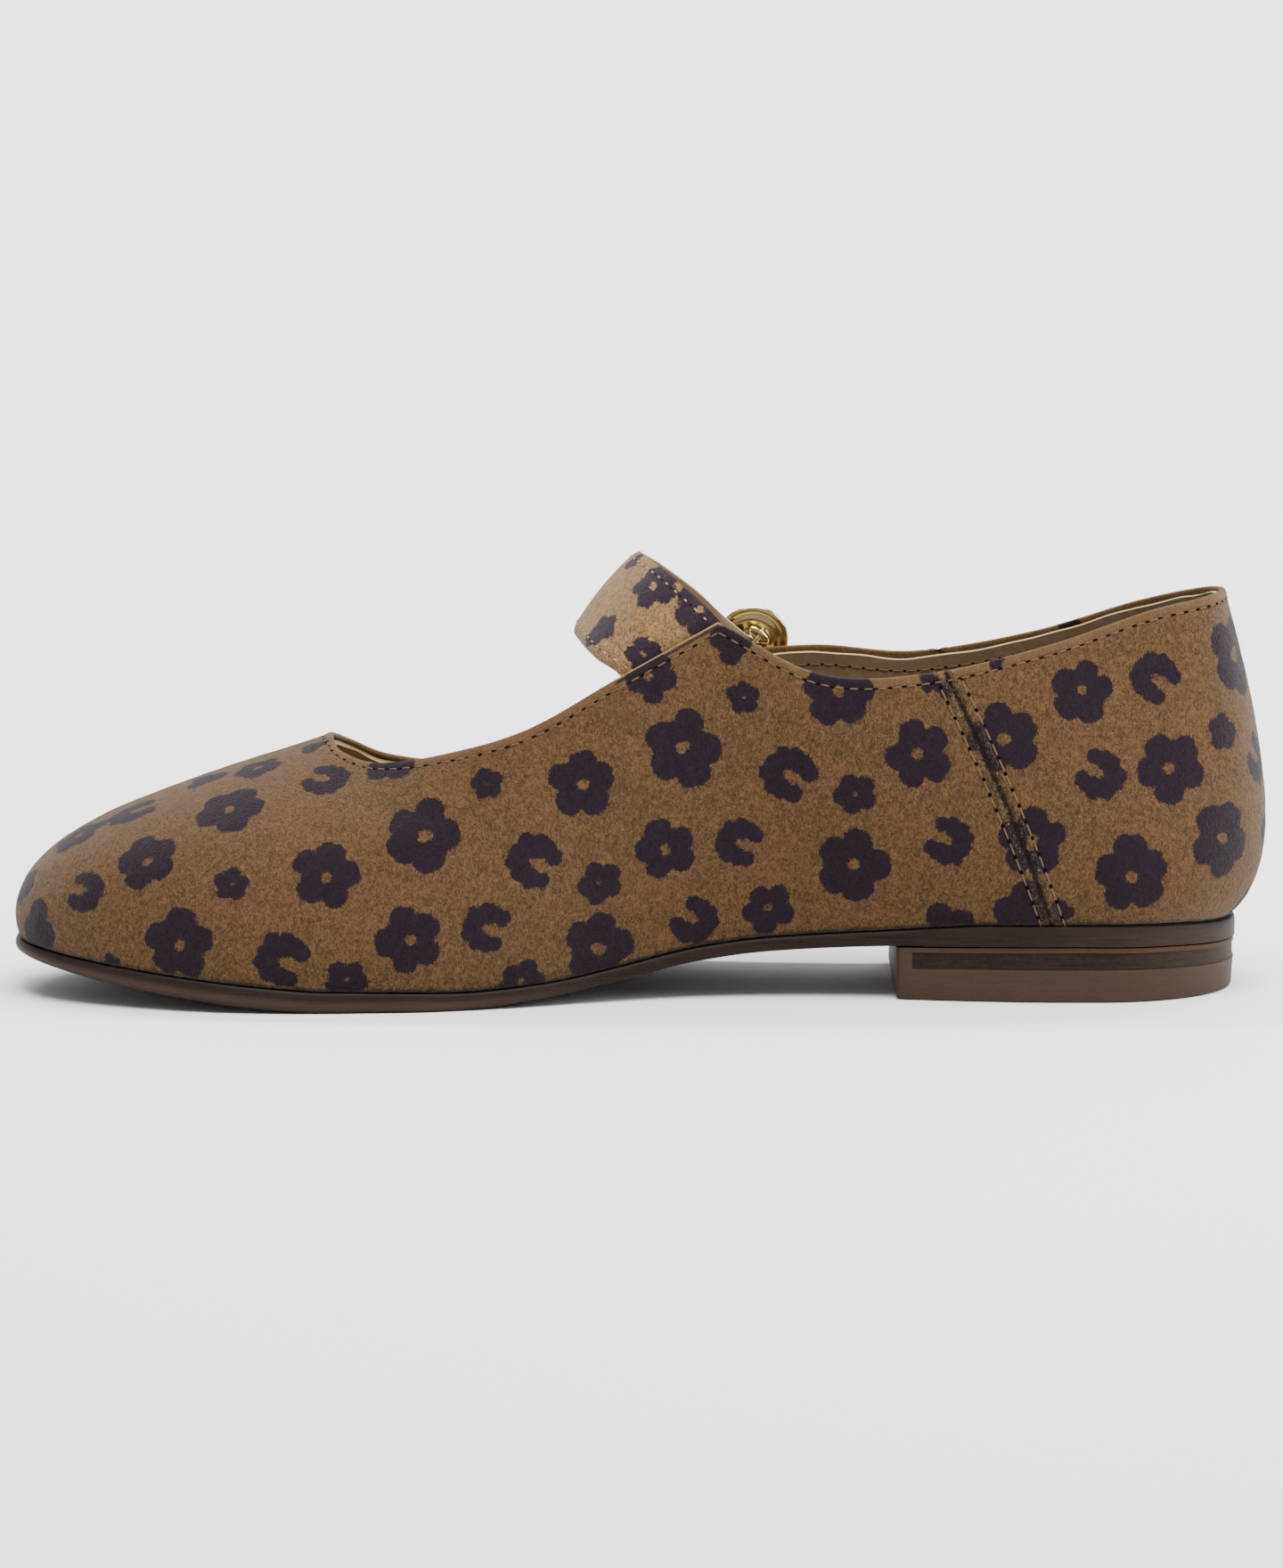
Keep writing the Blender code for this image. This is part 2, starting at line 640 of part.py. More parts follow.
def strap_rows():
    """Rows of points across the strap's outer face along its whole length."""
    pairs = strap_edges()
    front, rear = [p[0] for p in pairs], [p[1] for p in pairs]
    rows = []
    anchored = 2 * STRAP_STEPS
    free = (len(pairs) - 1) * STRAP_STEPS
    for k in range(free):
        a, b = through(front, k / STRAP_STEPS), through(rear, k / STRAP_STEPS)
        ahead = through(front, (k + 0.1) / STRAP_STEPS) - a
        off = (b - a).cross(ahead).normalized()
        crown = STRAP_CROWN * max(math.sin(math.pi * (k - anchored) / (free - anchored)), 0.0)
        row = []
        for c in range(STRAP_COLUMNS + 1):
            t = c / STRAP_COLUMNS
            row.append(a.lerp(b, t) + off * (4 * crown * t * (1.0 - t)))
        rows.append(row)
    half = STRAP_END_WIDTH / 2
    slot = BUCKLE_LENGTH / 2 - BUCKLE_BAND
    stops = [share * BUCKLE_LENGTH for share in STRAP_LANDING]
    stops += [slot * (2 * k / BAR_STEPS - 1.0) for k in range(BAR_STEPS + 1)]
    stops += [share * BUCKLE_LENGTH for share in STRAP_RUN_OUT]
    tail = STRAP_TAIL_LENGTH - half
    stops += [tail]
    for u in stops:
        row = []
        for c in range(STRAP_COLUMNS + 1):
            v = half * (2 * c / STRAP_COLUMNS - 1.0)
            point = seat.at(u, v, strap_over_bar(u)) if u <= slot else seat.on_wall(u, v, strap_over_bar(u))
            row.append(point)
        rows.append(row)
    blunt = 0.96
    for k in range(1, END_STEPS + 1):
        turn = blunt * (math.pi / 2) * k / END_STEPS
        row = []
        for c in range(STRAP_COLUMNS + 1):
            v = half * math.cos(turn) * (2 * c / STRAP_COLUMNS - 1.0)
            row.append(seat.on_wall(tail + half * math.sin(turn), v, GAP + STRAP_THICKNESS))
        rows.append(row)
    return rows


def cutter_rod(name, start, end, radius, cutters):
    """A rod between two points that cuts a round hole."""
    axis = end - start
    bpy.ops.mesh.primitive_cylinder_add(vertices=HOLE_SIDES, radius=radius, depth=axis.length)
    rod = bpy.context.object
    rod.name = name
    rod.data.transform(axis.to_track_quat("Z", "Y").to_matrix().to_4x4())
    rod.data.transform(Matrix.Translation((start + end) / 2))
    for owner in list(rod.users_collection):
        owner.objects.unlink(rod)
    cutters.objects.link(rod)
    rod.hide_render = True
    rod.display_type = "WIRE"
    return rod


def prong_line():
    """The prong's rise from the bar through the strap: its two ends."""
    start = seat.at(0.0, 0.0, bar_height())
    reach = (ring_height() + BUCKLE_HALF_DEPTH - bar_height()) / math.tan(PRONG_LEAN)
    return start, seat.at(-reach, 0.0, ring_height() + BUCKLE_HALF_DEPTH + 0.7 * PRONG_RADIUS)


def bar_height():
    return GAP + BAR_RADIUS


def ring_height():
    return GAP + STRAP_THICKNESS + GAP + BUCKLE_HALF_DEPTH


def build_strap(material, group, cutters):
    """The instep strap, from inside the ear over the instep and through the buckle."""
    rows = strap_rows()
    wide = len(rows[0])
    vertices = [point for row in rows for point in row]
    faces = []
    for r in range(len(rows) - 1):
        for c in range(wide - 1):
            k = r * wide + c
            faces.append((k, k + 1, k + wide + 1, k + wide))
    obj = mesh_object("strap", vertices, faces, material, group)
    shade(obj)
    body = obj.modifiers.new("body", "SOLIDIFY")
    body.thickness = STRAP_THICKNESS
    body.offset = -1.0
    body.use_even_offset = True
    start, end = prong_line()
    lean = (end - start).normalized()
    rods = [(start + lean * BAR_RADIUS, end + lean * STRAP_THICKNESS)]
    for k in (1, 2):
        u = BUCKLE_LENGTH / 2 + (k - 0.5) * HOLE_SPACING
        rods.append((seat.on_wall(u, 0.0, 0.5 * GAP), seat.on_wall(u, 0.0, 2 * STRAP_THICKNESS + GAP)))
    for k, (low, high) in enumerate(rods):
        cut = obj.modifiers.new(f"hole_{k}", "BOOLEAN")
        cut.operation = "DIFFERENCE"
        cut.solver = "EXACT"
        cut.object = cutter_rod(f"strap_hole_{k}", low, high, HOLE_RADIUS, cutters)
    return obj


def ring_path(inset):
    """The buckle's obround outline, moved in by the inset, as (u, v) points."""
    radius = BUCKLE_LENGTH / 2
    straight = BUCKLE_WIDTH / 2 - radius
    path = []
    for i in range(RING_COLUMNS):
        turn = 2 * math.pi * (i + 0.5) / RING_COLUMNS
        u, v = math.cos(turn), math.sin(turn)
        path.append((u * (radius - inset), v * (radius - inset) + math.copysign(straight, v)))
    return path


def build_buckle(material, group):
    """The oval buckle: a ring with two ridges, its centre bar and its prong, cast in one."""
    section = RING_SECTION + [(along, -tall) for along, tall in reversed(RING_SECTION[1:-1])]
    vertices, faces = [], []
    for along, tall in section:
        height = ring_height() + tall * BUCKLE_HALF_DEPTH
        vertices += [seat.at(u, v, height) for u, v in ring_path(along * BUCKLE_BAND)]
    for r in range(len(section)):
        s = (r + 1) % len(section)
        for i in range(RING_COLUMNS):
            j = (i + 1) % RING_COLUMNS
            here, there = r * RING_COLUMNS, s * RING_COLUMNS
            faces.append((here + i, here + j, there + j, there + i))
    obj = mesh_object("buckle", vertices, faces, material, group)
    outward_faces(obj)
    shade(obj)
    hole = BUCKLE_WIDTH / 2 - BUCKLE_BAND
    edge = STRAP_END_WIDTH / 2
    low, high = bar_height(), ring_height()
    bar = [
        (0.0, -hole - 0.4 * BUCKLE_BAND, high),
        (0.0, -hole + BAR_RADIUS, 0.7 * high + 0.3 * low),
        (0.0, -edge - 2 * BAR_RADIUS, low),
        (0.0, edge + 2 * BAR_RADIUS, low),
        (0.0, hole - BAR_RADIUS, 0.7 * high + 0.3 * low),
        (0.0, hole + 0.4 * BUCKLE_BAND, high),
    ]
    start, bend = prong_line()
    tip = seat.at(0.12 * BUCKLE_BAND - BUCKLE_LENGTH / 2, 0.0, high + 0.9 * BUCKLE_HALF_DEPTH)
    add_wire(obj, "bar", [seat.at(*p) for p in bar], BAR_RADIUS)
    add_wire(obj, "prong", [start, bend, tip], PRONG_RADIUS)
    return obj


def add_wire(target, name, points, radius):
    """Joins a round wire through the points to the target piece."""
    curve = bpy.data.curves.new(name, "CURVE")
    curve.dimensions = "3D"
    curve.bevel_depth = radius
    curve.bevel_resolution = 2
    curve.use_fill_caps = True
    spline = curve.splines.new("POLY")
    spline.points.add(len(points) - 1)
    for slot, point in zip(spline.points, points):
        slot.co = (*point, 1.0)
    wire = bpy.data.objects.new(name, curve)
    bpy.context.scene.collection.objects.link(wire)
    bpy.context.view_layer.update()
    body = bpy.data.meshes.new_from_object(wire.evaluated_get(bpy.context.evaluated_depsgraph_get()))
    bpy.data.objects.remove(wire, do_unlink=True)
    weld = bmesh.new()
    weld.from_mesh(body)
    bmesh.ops.remove_doubles(weld, verts=weld.verts[:], dist=WELD_DISTANCE)
    weld.to_mesh(body)
    weld.free()
    holder = bpy.data.objects.new(name, body)
    bpy.data.collections["cutters"].objects.link(holder)
    holder.hide_render = True
    holder.display_type = "WIRE"
    join = target.modifiers.new(name, "BOOLEAN")
    join.operation = "UNION"
    join.solver = "EXACT"
    join.object = holder


def remove_everything():
    for obj in list(bpy.data.objects):
        bpy.data.objects.remove(obj, do_unlink=True)


def finish(name, colour, roughness, metallic=0.0):
    material = bpy.data.materials.new(name)
    material.use_nodes = True
    shader = material.node_tree.nodes["Principled BSDF"]
    shader.inputs["Base Color"].default_value = (*colour, 1.0)
    shader.inputs["Roughness"].default_value = roughness
    shader.inputs["Metallic"].default_value = metallic
    return material


def main():
    remove_everything()
    shoe = bpy.data.collections.new("ballet_flat")
    cutters = bpy.data.collections.new("cutters")
    bpy.context.scene.collection.children.link(shoe)
    bpy.context.scene.collection.children.link(cutters)
    suede = finish("printed_suede", (0.36, 0.19, 0.07), 0.9)
    strap_suede = finish("strap_suede", (0.36, 0.19, 0.07), 0.9)
    lining = finish("lining_leather", (0.55, 0.42, 0.26), 0.6)
    sole_brown = finish("sole_brown", (0.07, 0.045, 0.03), 0.5)
    heel_tan = finish("heel_tan", (0.16, 0.12, 0.09), 0.55)
    gold = finish("gold_metal", (0.75, 0.60, 0.30), 0.25, 1.0)
    build_outsole(sole_brown, shoe)
    build_heel(heel_tan, shoe)
    build_insole(lining, shoe)
    build_upper(suede, shoe)
    build_strap(strap_suede, shoe, cutters)
    build_buckle(gold, shoe)


main()
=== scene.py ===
"""The finished surfaces of a printed suede ballet flat with an instep strap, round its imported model.

Metres, +Z up, the floor at z = 0. The toe points to -X, the inner side of the foot faces -Y and the
outer side, which carries the buckle, faces +Y. Shares along the shoe run from 0 at the heel end of
the outsole to 1 at its toe end.
"""

import math
import random
from bisect import bisect_right
from collections import namedtuple
from functools import lru_cache

import bmesh
import bpy
import numpy as np
from bpy.props import FloatProperty, FloatVectorProperty, PointerProperty
from mathutils import Matrix, Vector, noise
from mathutils.bvhtree import BVHTree


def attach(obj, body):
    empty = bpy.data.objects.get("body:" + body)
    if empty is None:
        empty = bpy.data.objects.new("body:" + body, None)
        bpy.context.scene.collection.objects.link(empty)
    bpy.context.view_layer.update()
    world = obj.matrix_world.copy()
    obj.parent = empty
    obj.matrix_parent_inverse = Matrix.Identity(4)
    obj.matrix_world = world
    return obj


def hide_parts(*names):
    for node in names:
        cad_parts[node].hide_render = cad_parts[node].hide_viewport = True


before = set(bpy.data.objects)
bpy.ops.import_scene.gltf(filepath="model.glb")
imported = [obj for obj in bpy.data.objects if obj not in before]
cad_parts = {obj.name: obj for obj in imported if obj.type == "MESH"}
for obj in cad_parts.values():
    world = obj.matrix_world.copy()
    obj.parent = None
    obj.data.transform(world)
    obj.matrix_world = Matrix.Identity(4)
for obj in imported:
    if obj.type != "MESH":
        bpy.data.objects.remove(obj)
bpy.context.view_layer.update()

bl_info = {
    "name": "Printed ballet flat",
    "version": (1, 0, 0),
    "blender": (4, 5, 0),
    "location": "View3D > Sidebar > Flat",
    "description": "Dresses a packed ballet flat in suede, lining, stitches, sole and buckle finishes",
    "category": "Object",
}

MM = 0.001
INNER, OUTER = -1, 1

# Sole sizes
SOLE_LENGTH = 0.2456
HEEL_WIDTH = 0.0560
WAIST_WIDTH = 0.0520
BALL_WIDTH = 0.0820
TOE_WIDTH = 0.0640
HEEL_END_RADIUS = 0.0285
TOE_END_LENGTH = 0.0540
TOE_ROUNDNESS = 2.3
TOE_SWING = 0.0060
OUTSOLE_THICKNESS = 0.0040
TOE_SPRING = 0.0078
SOLE_EDGE_ROUNDING = 0.0012

# Heel sizes
HEEL_HEIGHT = 0.0114
HEEL_LENGTH = 0.0690
HEEL_SETBACK = 0.0003
HEEL_TAPER = 0.0004
HEEL_RIB_HEIGHT = 0.0010
HEEL_BAND_HEIGHT = 0.0036
HEEL_BAND_DEPTH = 0.00025
HEEL_BAND_MARGIN = 0.0030
HEEL_EDGE_ROUNDING = 0.0007

# Upper sizes, heights above the floor
COLLAR_BACK_HEIGHT = 0.0803
COLLAR_SIDE_HEIGHT = 0.0653
EAR_REAR_HEIGHT = 0.0759
EAR_FRONT_HEIGHT = 0.0652
THROAT_HEIGHT = 0.0508
COLLAR_WIDTH = 0.0540
THROAT_WIDTH = 0.0580
UPPER_WALL = 0.0019
FEATHER_INSET = 0.0006
HEEL_OVERHANG = 0.0068
TOE_OVERHANG = 0.0007

# Insole, strap and buckle sizes
INSOLE_THICKNESS = 0.0024
INSOLE_EDGE_ROUNDING = 0.0007
STRAP_THICKNESS = 0.0012
STRAP_SPAN = 0.0560
STRAP_CROWN = 0.0009
STRAP_END_WIDTH = 0.0110
STRAP_CREST_HEIGHT = 0.0878
STRAP_ANCHOR_LENGTH = 0.0105
STRAP_TAIL_LENGTH = 0.0220
BUCKLE_LENGTH = 0.0148
BUCKLE_WIDTH = 0.0250
BUCKLE_BAND = 0.0043
BUCKLE_HALF_DEPTH = 0.0009
BAR_RADIUS = 0.0005
PRONG_RADIUS = 0.00045
HOLE_RADIUS = 0.0008
HOLE_SPACING = 0.0060

# Clearance between pieces that lie on each other
GAP = 0.0003

HEEL_X = (SOLE_LENGTH + TOE_OVERHANG - HEEL_OVERHANG) / 2
BREAST_SHARE = HEEL_LENGTH / SOLE_LENGTH
BALL_FLAT = (0.640, 0.740)

# Fineness of the finished surfaces
COLUMN_STEP = 0.9 * MM
SEAM_COLUMN_STEP = 0.5 * MM
ROW_STEP = 1.1 * MM
EDGE_ROWS = [0.0, 0.2, 0.45, 0.8, 1.2, 1.6, 2.1, 2.6, 3.0, 3.4, 3.9, 4.6, 5.4]
LINING_TOP_ROW = 4
STITCH_ROW = 6
LINING_STITCH_ROW = 10
WALL_SAMPLES = 161
SOLE_COLUMNS = 170
HEEL_COLUMNS = 60
STRAP_COLUMNS = 24
STRAP_STEPS = 9
STRAP_STEP = 0.7 * MM
END_STEPS = 8
END_BLUNTNESS = 0.96
RING_COLUMNS = 120
RING_FINENESS = 4
OPENING_SQUARENESS = 2.2
# Half sizes of the lugs that join the buckle's bar to its ring, and their middle's height off the wall
LUG_SIZE = (2.7 * MM, 1.3 * MM, 0.90 * MM)
LUG_HEIGHT = 1.7 * MM
SEAM_SAMPLES = 120

# Rows of stitches: from stitch to stitch, a stitch's length, its hole's radius and the hole's stretch
StitchRow = namedtuple("StitchRow", "pitch length hole stretch")
TOPLINE_STITCHES = StitchRow(2.8 * MM, 1.8 * MM, 0.24 * MM, 2.4)
SEAM_STITCHES = StitchRow(3.3 * MM, 2.9 * MM, 0.44 * MM, 1.0)
STRAP_STITCHES = StitchRow(2.6 * MM, 0.55 * MM, 0.16 * MM, 1.2)
LINING_STITCHES = StitchRow(2.8 * MM, 2.2 * MM, 0.24 * MM, 1.4)

# The photograph's view of the shoe
PHOTO_WIDTH, PHOTO_HEIGHT = 1440, 1760
VIEW_ELEVATION = math.radians(7.7)
VIEW_DISTANCE = 1.6
VIEW_TARGET = Vector((0.0, 0.0, 0.0403))
LENS = 182.3
SENSOR = 36.0
# The lens's distance from the picture, in its pixels
VIEW_PIXELS = LENS / SENSOR * PHOTO_HEIGHT

# The side seam in the side view, as x and z: its foot at the sole and its top at the collar
SEAM_FOOT = (0.0812, 0.0170)
SEAM_TOP = (0.0609, 0.0645)
SEAM_BOW = 0.8 * MM
SEAM_REACH = 4.0 * MM
SEAM_START = -0.04
SEAM_ENDS = {INNER: 0.955, OUTER: 0.88}

# The sole's half widths either side of its centre line: share of the length, inner side, outer side
PLAN = [
    (0.00, 0.500 * HEEL_WIDTH, 0.500 * HEEL_WIDTH),
    (0.15, 0.500 * HEEL_WIDTH, 0.505 * HEEL_WIDTH),
    (0.22, 0.470 * HEEL_WIDTH, 0.510 * HEEL_WIDTH),
    (0.29, 0.450 * WAIST_WIDTH, 0.550 * WAIST_WIDTH),
    (0.37, 0.425 * WAIST_WIDTH, 0.565 * WAIST_WIDTH),
    (0.44, 0.450 * WAIST_WIDTH, 0.605 * WAIST_WIDTH),
    (0.52, 0.345 * BALL_WIDTH, 0.425 * BALL_WIDTH),
    (0.60, 0.430 * BALL_WIDTH, 0.475 * BALL_WIDTH),
    (0.68, 0.483 * BALL_WIDTH, 0.508 * BALL_WIDTH),
    (0.74, 0.487 * BALL_WIDTH, 0.505 * BALL_WIDTH),
    (0.82, 0.470 * BALL_WIDTH, 0.480 * BALL_WIDTH),
    (0.91, 0.540 * TOE_WIDTH, 0.570 * TOE_WIDTH),
    (1.00, 0.500 * TOE_WIDTH, 0.520 * TOE_WIDTH),
]
CENTRE_LINE = [(0.0, 0.0), (0.60, 0.0), (0.80, -0.35 * TOE_SWING), (1.0, -TOE_SWING)]

# Height of the outsole's underside by share of the length: the heel lifts the back, as shares of its
# height, and the toe spring lifts the front, as shares of its own
HEEL_LIFT = [
    (0.000, 0.90), (0.060, 0.98), (0.140, 1.00), (0.220, 0.98), (0.290, 0.94),
    (0.390, 0.82), (0.440, 0.68), (0.507, 0.37), (0.568, 0.13), (BALL_FLAT[0], 0.0),
]
TOE_LIFT = [
    (BALL_FLAT[1], 0.0), (0.790, 0.09), (0.855, 0.32), (0.910, 0.56), (0.963, 0.86), (1.000, 1.08),
]
# The outsole's thickness by share of the length, as shares of its full thickness
THICKNESS = [
    (0.00, 1.00), (0.20, 1.00), (0.29, 0.76), (0.37, 0.69), (0.52, 0.69), (0.60, 0.81),
    (0.70, 0.98), (0.80, 1.06), (0.90, 0.93), (0.96, 0.75), (1.00, 0.58),
]

# The upper is a band between the feather line on the sole and the topline. Each station is one
# line up the band: its foot by share of the length, its top point, and the wall's two handles as
# shares of the wall's height there. Corner stations break the topline at the ear.
STATION_FIELDS = "foot along across height rise flare drop spread corner"
station = namedtuple("station", STATION_FIELDS, defaults=[False])
HEEL_STATION = station(0.000, 0.0115, 0.0, COLLAR_BACK_HEIGHT, 0.16, 0.168, 0.48, 0.135)
INNER_STATIONS = [
    station(0.034, 0.0280, 0.215 * COLLAR_WIDTH, 0.993 * COLLAR_BACK_HEIGHT, 0.17, 0.150, 0.46, 0.125),
    station(0.082, 0.0800, 0.330 * COLLAR_WIDTH, 0.962 * COLLAR_BACK_HEIGHT, 0.20, 0.115, 0.43, 0.110),
    station(0.149, 0.1620, 0.425 * COLLAR_WIDTH, 0.884 * COLLAR_BACK_HEIGHT, 0.25, 0.085, 0.38, 0.090),
    station(0.235, 0.2600, 0.480 * COLLAR_WIDTH, 1.008 * COLLAR_SIDE_HEIGHT, 0.30, 0.070, 0.34, 0.070),
    station(0.317, 0.3450, 0.487 * COLLAR_WIDTH, 1.010 * COLLAR_SIDE_HEIGHT, 0.32, 0.070, 0.32, 0.062),
    station(0.395, 0.4260, 0.444 * COLLAR_WIDTH, 1.000 * EAR_REAR_HEIGHT, 0.33, 0.070, 0.34, 0.070, True),
    station(0.475, 0.5070, 0.483 * THROAT_WIDTH, 1.000 * EAR_FRONT_HEIGHT, 0.34, 0.070, 0.34, 0.075, True),
    station(0.560, 0.5810, 0.502 * THROAT_WIDTH, 1.085 * THROAT_HEIGHT, 0.35, 0.075, 0.34, 0.140),
    station(0.660, 0.6540, 0.455 * THROAT_WIDTH, 0.978 * THROAT_HEIGHT, 0.36, 0.080, 0.31, 0.290),
    station(0.760, 0.7030, 0.362 * THROAT_WIDTH, 0.937 * THROAT_HEIGHT, 0.38, 0.085, 0.28, 0.430),
    station(0.860, 0.7300, 0.241 * THROAT_WIDTH, 0.961 * THROAT_HEIGHT, 0.42, 0.090, 0.28, 0.590),
    station(0.940, 0.7385, 0.125 * THROAT_WIDTH, 0.988 * THROAT_HEIGHT, 0.48, 0.105, 0.285, 0.740),
]
TOE_STATION = station(1.000, 0.7400, 0.0, THROAT_HEIGHT, 0.530, 0.140, 0.290, 0.820)
OUTER_STATIONS = [
    station(0.940, 0.7375, 0.130 * THROAT_WIDTH, 0.978 * THROAT_HEIGHT, 0.48, 0.105, 0.28, 0.740),
    station(0.860, 0.7265, 0.252 * THROAT_WIDTH, 0.936 * THROAT_HEIGHT, 0.42, 0.090, 0.27, 0.600),
    station(0.760, 0.6975, 0.372 * THROAT_WIDTH, 0.862 * THROAT_HEIGHT, 0.38, 0.090, 0.26, 0.490),
    station(0.660, 0.6520, 0.462 * THROAT_WIDTH, 0.832 * THROAT_HEIGHT, 0.36, 0.090, 0.28, 0.350),
    station(0.560, 0.5810, 0.515 * THROAT_WIDTH, 0.915 * THROAT_HEIGHT, 0.35, 0.085, 0.32, 0.200),
    station(0.475, 0.5000, 0.515 * THROAT_WIDTH, 1.060 * THROAT_HEIGHT, 0.34, 0.080, 0.34, 0.120),
    station(0.395, 0.4260, 0.520 * COLLAR_WIDTH, 0.965 * COLLAR_SIDE_HEIGHT, 0.33, 0.075, 0.34, 0.085),
    station(0.317, 0.3450, 0.518 * COLLAR_WIDTH, 1.003 * COLLAR_SIDE_HEIGHT, 0.32, 0.072, 0.33, 0.072),
    station(0.235, 0.2600, 0.498 * COLLAR_WIDTH, 0.986 * COLLAR_SIDE_HEIGHT, 0.30, 0.075, 0.34, 0.075),
    station(0.149, 0.1620, 0.440 * COLLAR_WIDTH, 0.857 * COLLAR_BACK_HEIGHT, 0.25, 0.088, 0.38, 0.090),
    station(0.082, 0.0800, 0.340 * COLLAR_WIDTH, 0.940 * COLLAR_BACK_HEIGHT, 0.20, 0.115, 0.43, 0.110),
    station(0.034, 0.0280, 0.215 * COLLAR_WIDTH, 0.984 * COLLAR_BACK_HEIGHT, 0.17, 0.150, 0.46, 0.125),
]
EAR_REAR, EAR_FRONT = 6, 7

# The strap between the ear and the buckle: its two edges at each line, the front edge first, as
# share of the sole's length, share of half the strap's span across, and share of the crest height
STRAP_LINES = [
    ((0.5250, -0.840, 0.783), (0.4580, -0.745, 0.953)),
    ((0.5385, -0.500, 0.809), (0.4800, -0.430, 0.992)),
    ((0.5435, 0.000, 0.818), (0.4905, 0.000, 1.000)),
    ((0.5230, 0.480, 0.802), (0.4730, 0.430, 0.958)),
    ((0.4930, 0.820, 0.768), (0.4430, 0.780, 0.884)),
]
BUCKLE_CENTRE = (0.4083, 0.944 * COLLAR_SIDE_HEIGHT)
BUCKLE_SLOPE = math.radians(42)
PRONG_LEAN = math.radians(47)

# Where the strap lies against the quarter: above the buckle, then below it, as shares of its length
STRAP_LANDING = -0.62

# The buckle's ring in section: distance in from its outer edge as a share of the band, and height
# as a share of its half depth. Two ridges run round it, and its middle is dished.
RING_SECTION = [
    (0.00, 0.00), (0.04, 0.55), (0.13, 0.80), (0.22, 0.60), (0.27, 0.55), (0.35, 0.90),
    (0.44, 1.00), (0.55, 0.62), (0.72, 0.34), (0.87, 0.66), (0.95, 0.50), (1.00, 0.00),
]

# The print on the inner side, charted: where each shape's middle is in the 1440 x 1760 view,
# its size across in pixels, its kind, and its turn in degrees. A hook's turn is the way it opens.
CHART = [
    (28, 995, 50, "flower", 20), (42, 1040, 66, "speck", 315), (88, 938, 72, "flower", 10),
    (95, 1000, 52, "hook", 160), (125, 1079, 24, "speck", 0), (150, 911, 66, "hook", 5),
    (166, 965, 74, "flower", 30), (201, 1059, 86, "flower", 14), (228, 876, 56, "speck", 0),
    (259, 907, 84, "flower", -15), (260, 992, 42, "small", 80), (289, 862, 60, "flower", 40),
    (317, 1078, 66, "hook", -25), (353, 838, 40, "speck", 10), (366, 983, 82, "flower", 5),
    (365, 874, 58, "hook", 150), (389, 1100, 50, "small", 54), (438, 856, 62, "speck", 60),
    (459, 1056, 80, "flower", 39), (475, 937, 92, "flower", 2), (495, 1121, 26, "speck", 0),
    (546, 880, 40, "small", 100), (546, 1042, 60, "hook", -15), (586, 1102, 58, "flower", 60),
    (600, 967, 66, "hook", -30), (653, 879, 80, "flower", 15), (671, 1064, 90, "flower", 2),
    (673, 991, 54, "small", 40), (730, 760, 62, "flower", 60), (746, 953, 74, "flower", 36),
    (766, 841, 92, "flower", 5), (779, 1033, 58, "hook", 140), (818, 724, 50, "speck", 25),
    (835, 783, 40, "small", 90), (830, 946, 58, "hook", -20), (862, 1020, 62, "flower", 50),
    (885, 869, 66, "hook", -35), (942, 778, 82, "flower", 18), (960, 891, 50, "small", 40),
    (956, 972, 90, "flower", 0), (1032, 846, 80, "flower", 41), (1064, 944, 58, "hook", 155),
    (1066, 1036, 62, "speck", 20), (1043, 765, 28, "speck", 0), (1060, 773, 24, "speck", 40),
    (1119, 741, 26, "speck", 30), (1126, 828, 86, "flower", 30), (1159, 945, 84, "flower", 20),
    (1146, 1017, 64, "speck", 70), (1192, 1024, 30, "speck", 0), (1215, 777, 76, "flower", 8),
    (1235, 869, 60, "hook", 150), (1270, 982, 92, "flower", 18), (1297, 761, 62, "hook", -35),
    (1313, 861, 84, "flower", 50), (1372, 943, 92, "flower", 60), (1373, 821, 44, "small", 90),
    (1386, 735, 98, "flower", 20), (1410, 851, 60, "hook", 160), (1419, 930, 44, "speck", 40),
    (676, 706, 44, "small", 20), (663, 716, 26, "speck", 0), (711, 630, 30, "speck", 45),
    (734, 657, 62, "flower", 20), (784, 686, 60, "flower", 50), (722, 735, 46, "flower", 30),
]
# The kinds and sizes that fill the sides the view doesn't reach, the largest first
FILLING = [
    [("flower", 15.5 * MM), ("flower", 14.0 * MM), ("hook", 12.0 * MM), ("hook", 11.0 * MM)],
    [("small", 8.0 * MM), ("hook", 10.0 * MM)],
    [("speck", 4.5 * MM)],
]
FILLING_TRIES = 1800
MOTIF_SPACING = 2.3 * MM
SEED = 11


def share_to_x(share):
    return HEEL_X - share * SOLE_LENGTH


def monotone(rows):
    """A smooth curve through (at, value) rows that never overshoots them."""
    at = [row[0] for row in rows]
    value = [row[1] for row in rows]
    slope = [(value[i + 1] - value[i]) / (at[i + 1] - at[i]) for i in range(len(at) - 1)]
    tangent = [slope[0]]
    for before, after in zip(slope, slope[1:]):
        level = before * after <= 0.0
        tangent.append(0.0 if level else 2.0 * before * after / (before + after))
    tangent.append(slope[-1])

    def curve(share):
        i = min(max(bisect_right(at, share) - 1, 0), len(at) - 2)
        step = at[i + 1] - at[i]
        t = min(max((share - at[i]) / step, 0.0), 1.0)
        return hermite(value[i], value[i + 1], tangent[i] * step, tangent[i + 1] * step, t)

    return curve


def hermite(start, end, start_tangent, end_tangent, t):
    t2, t3 = t * t, t * t * t
    return (
        (2 * t3 - 3 * t2 + 1) * start
        + (t3 - 2 * t2 + t) * start_tangent
        + (3 * t2 - 2 * t3) * end
        + (t3 - t2) * end_tangent
    )


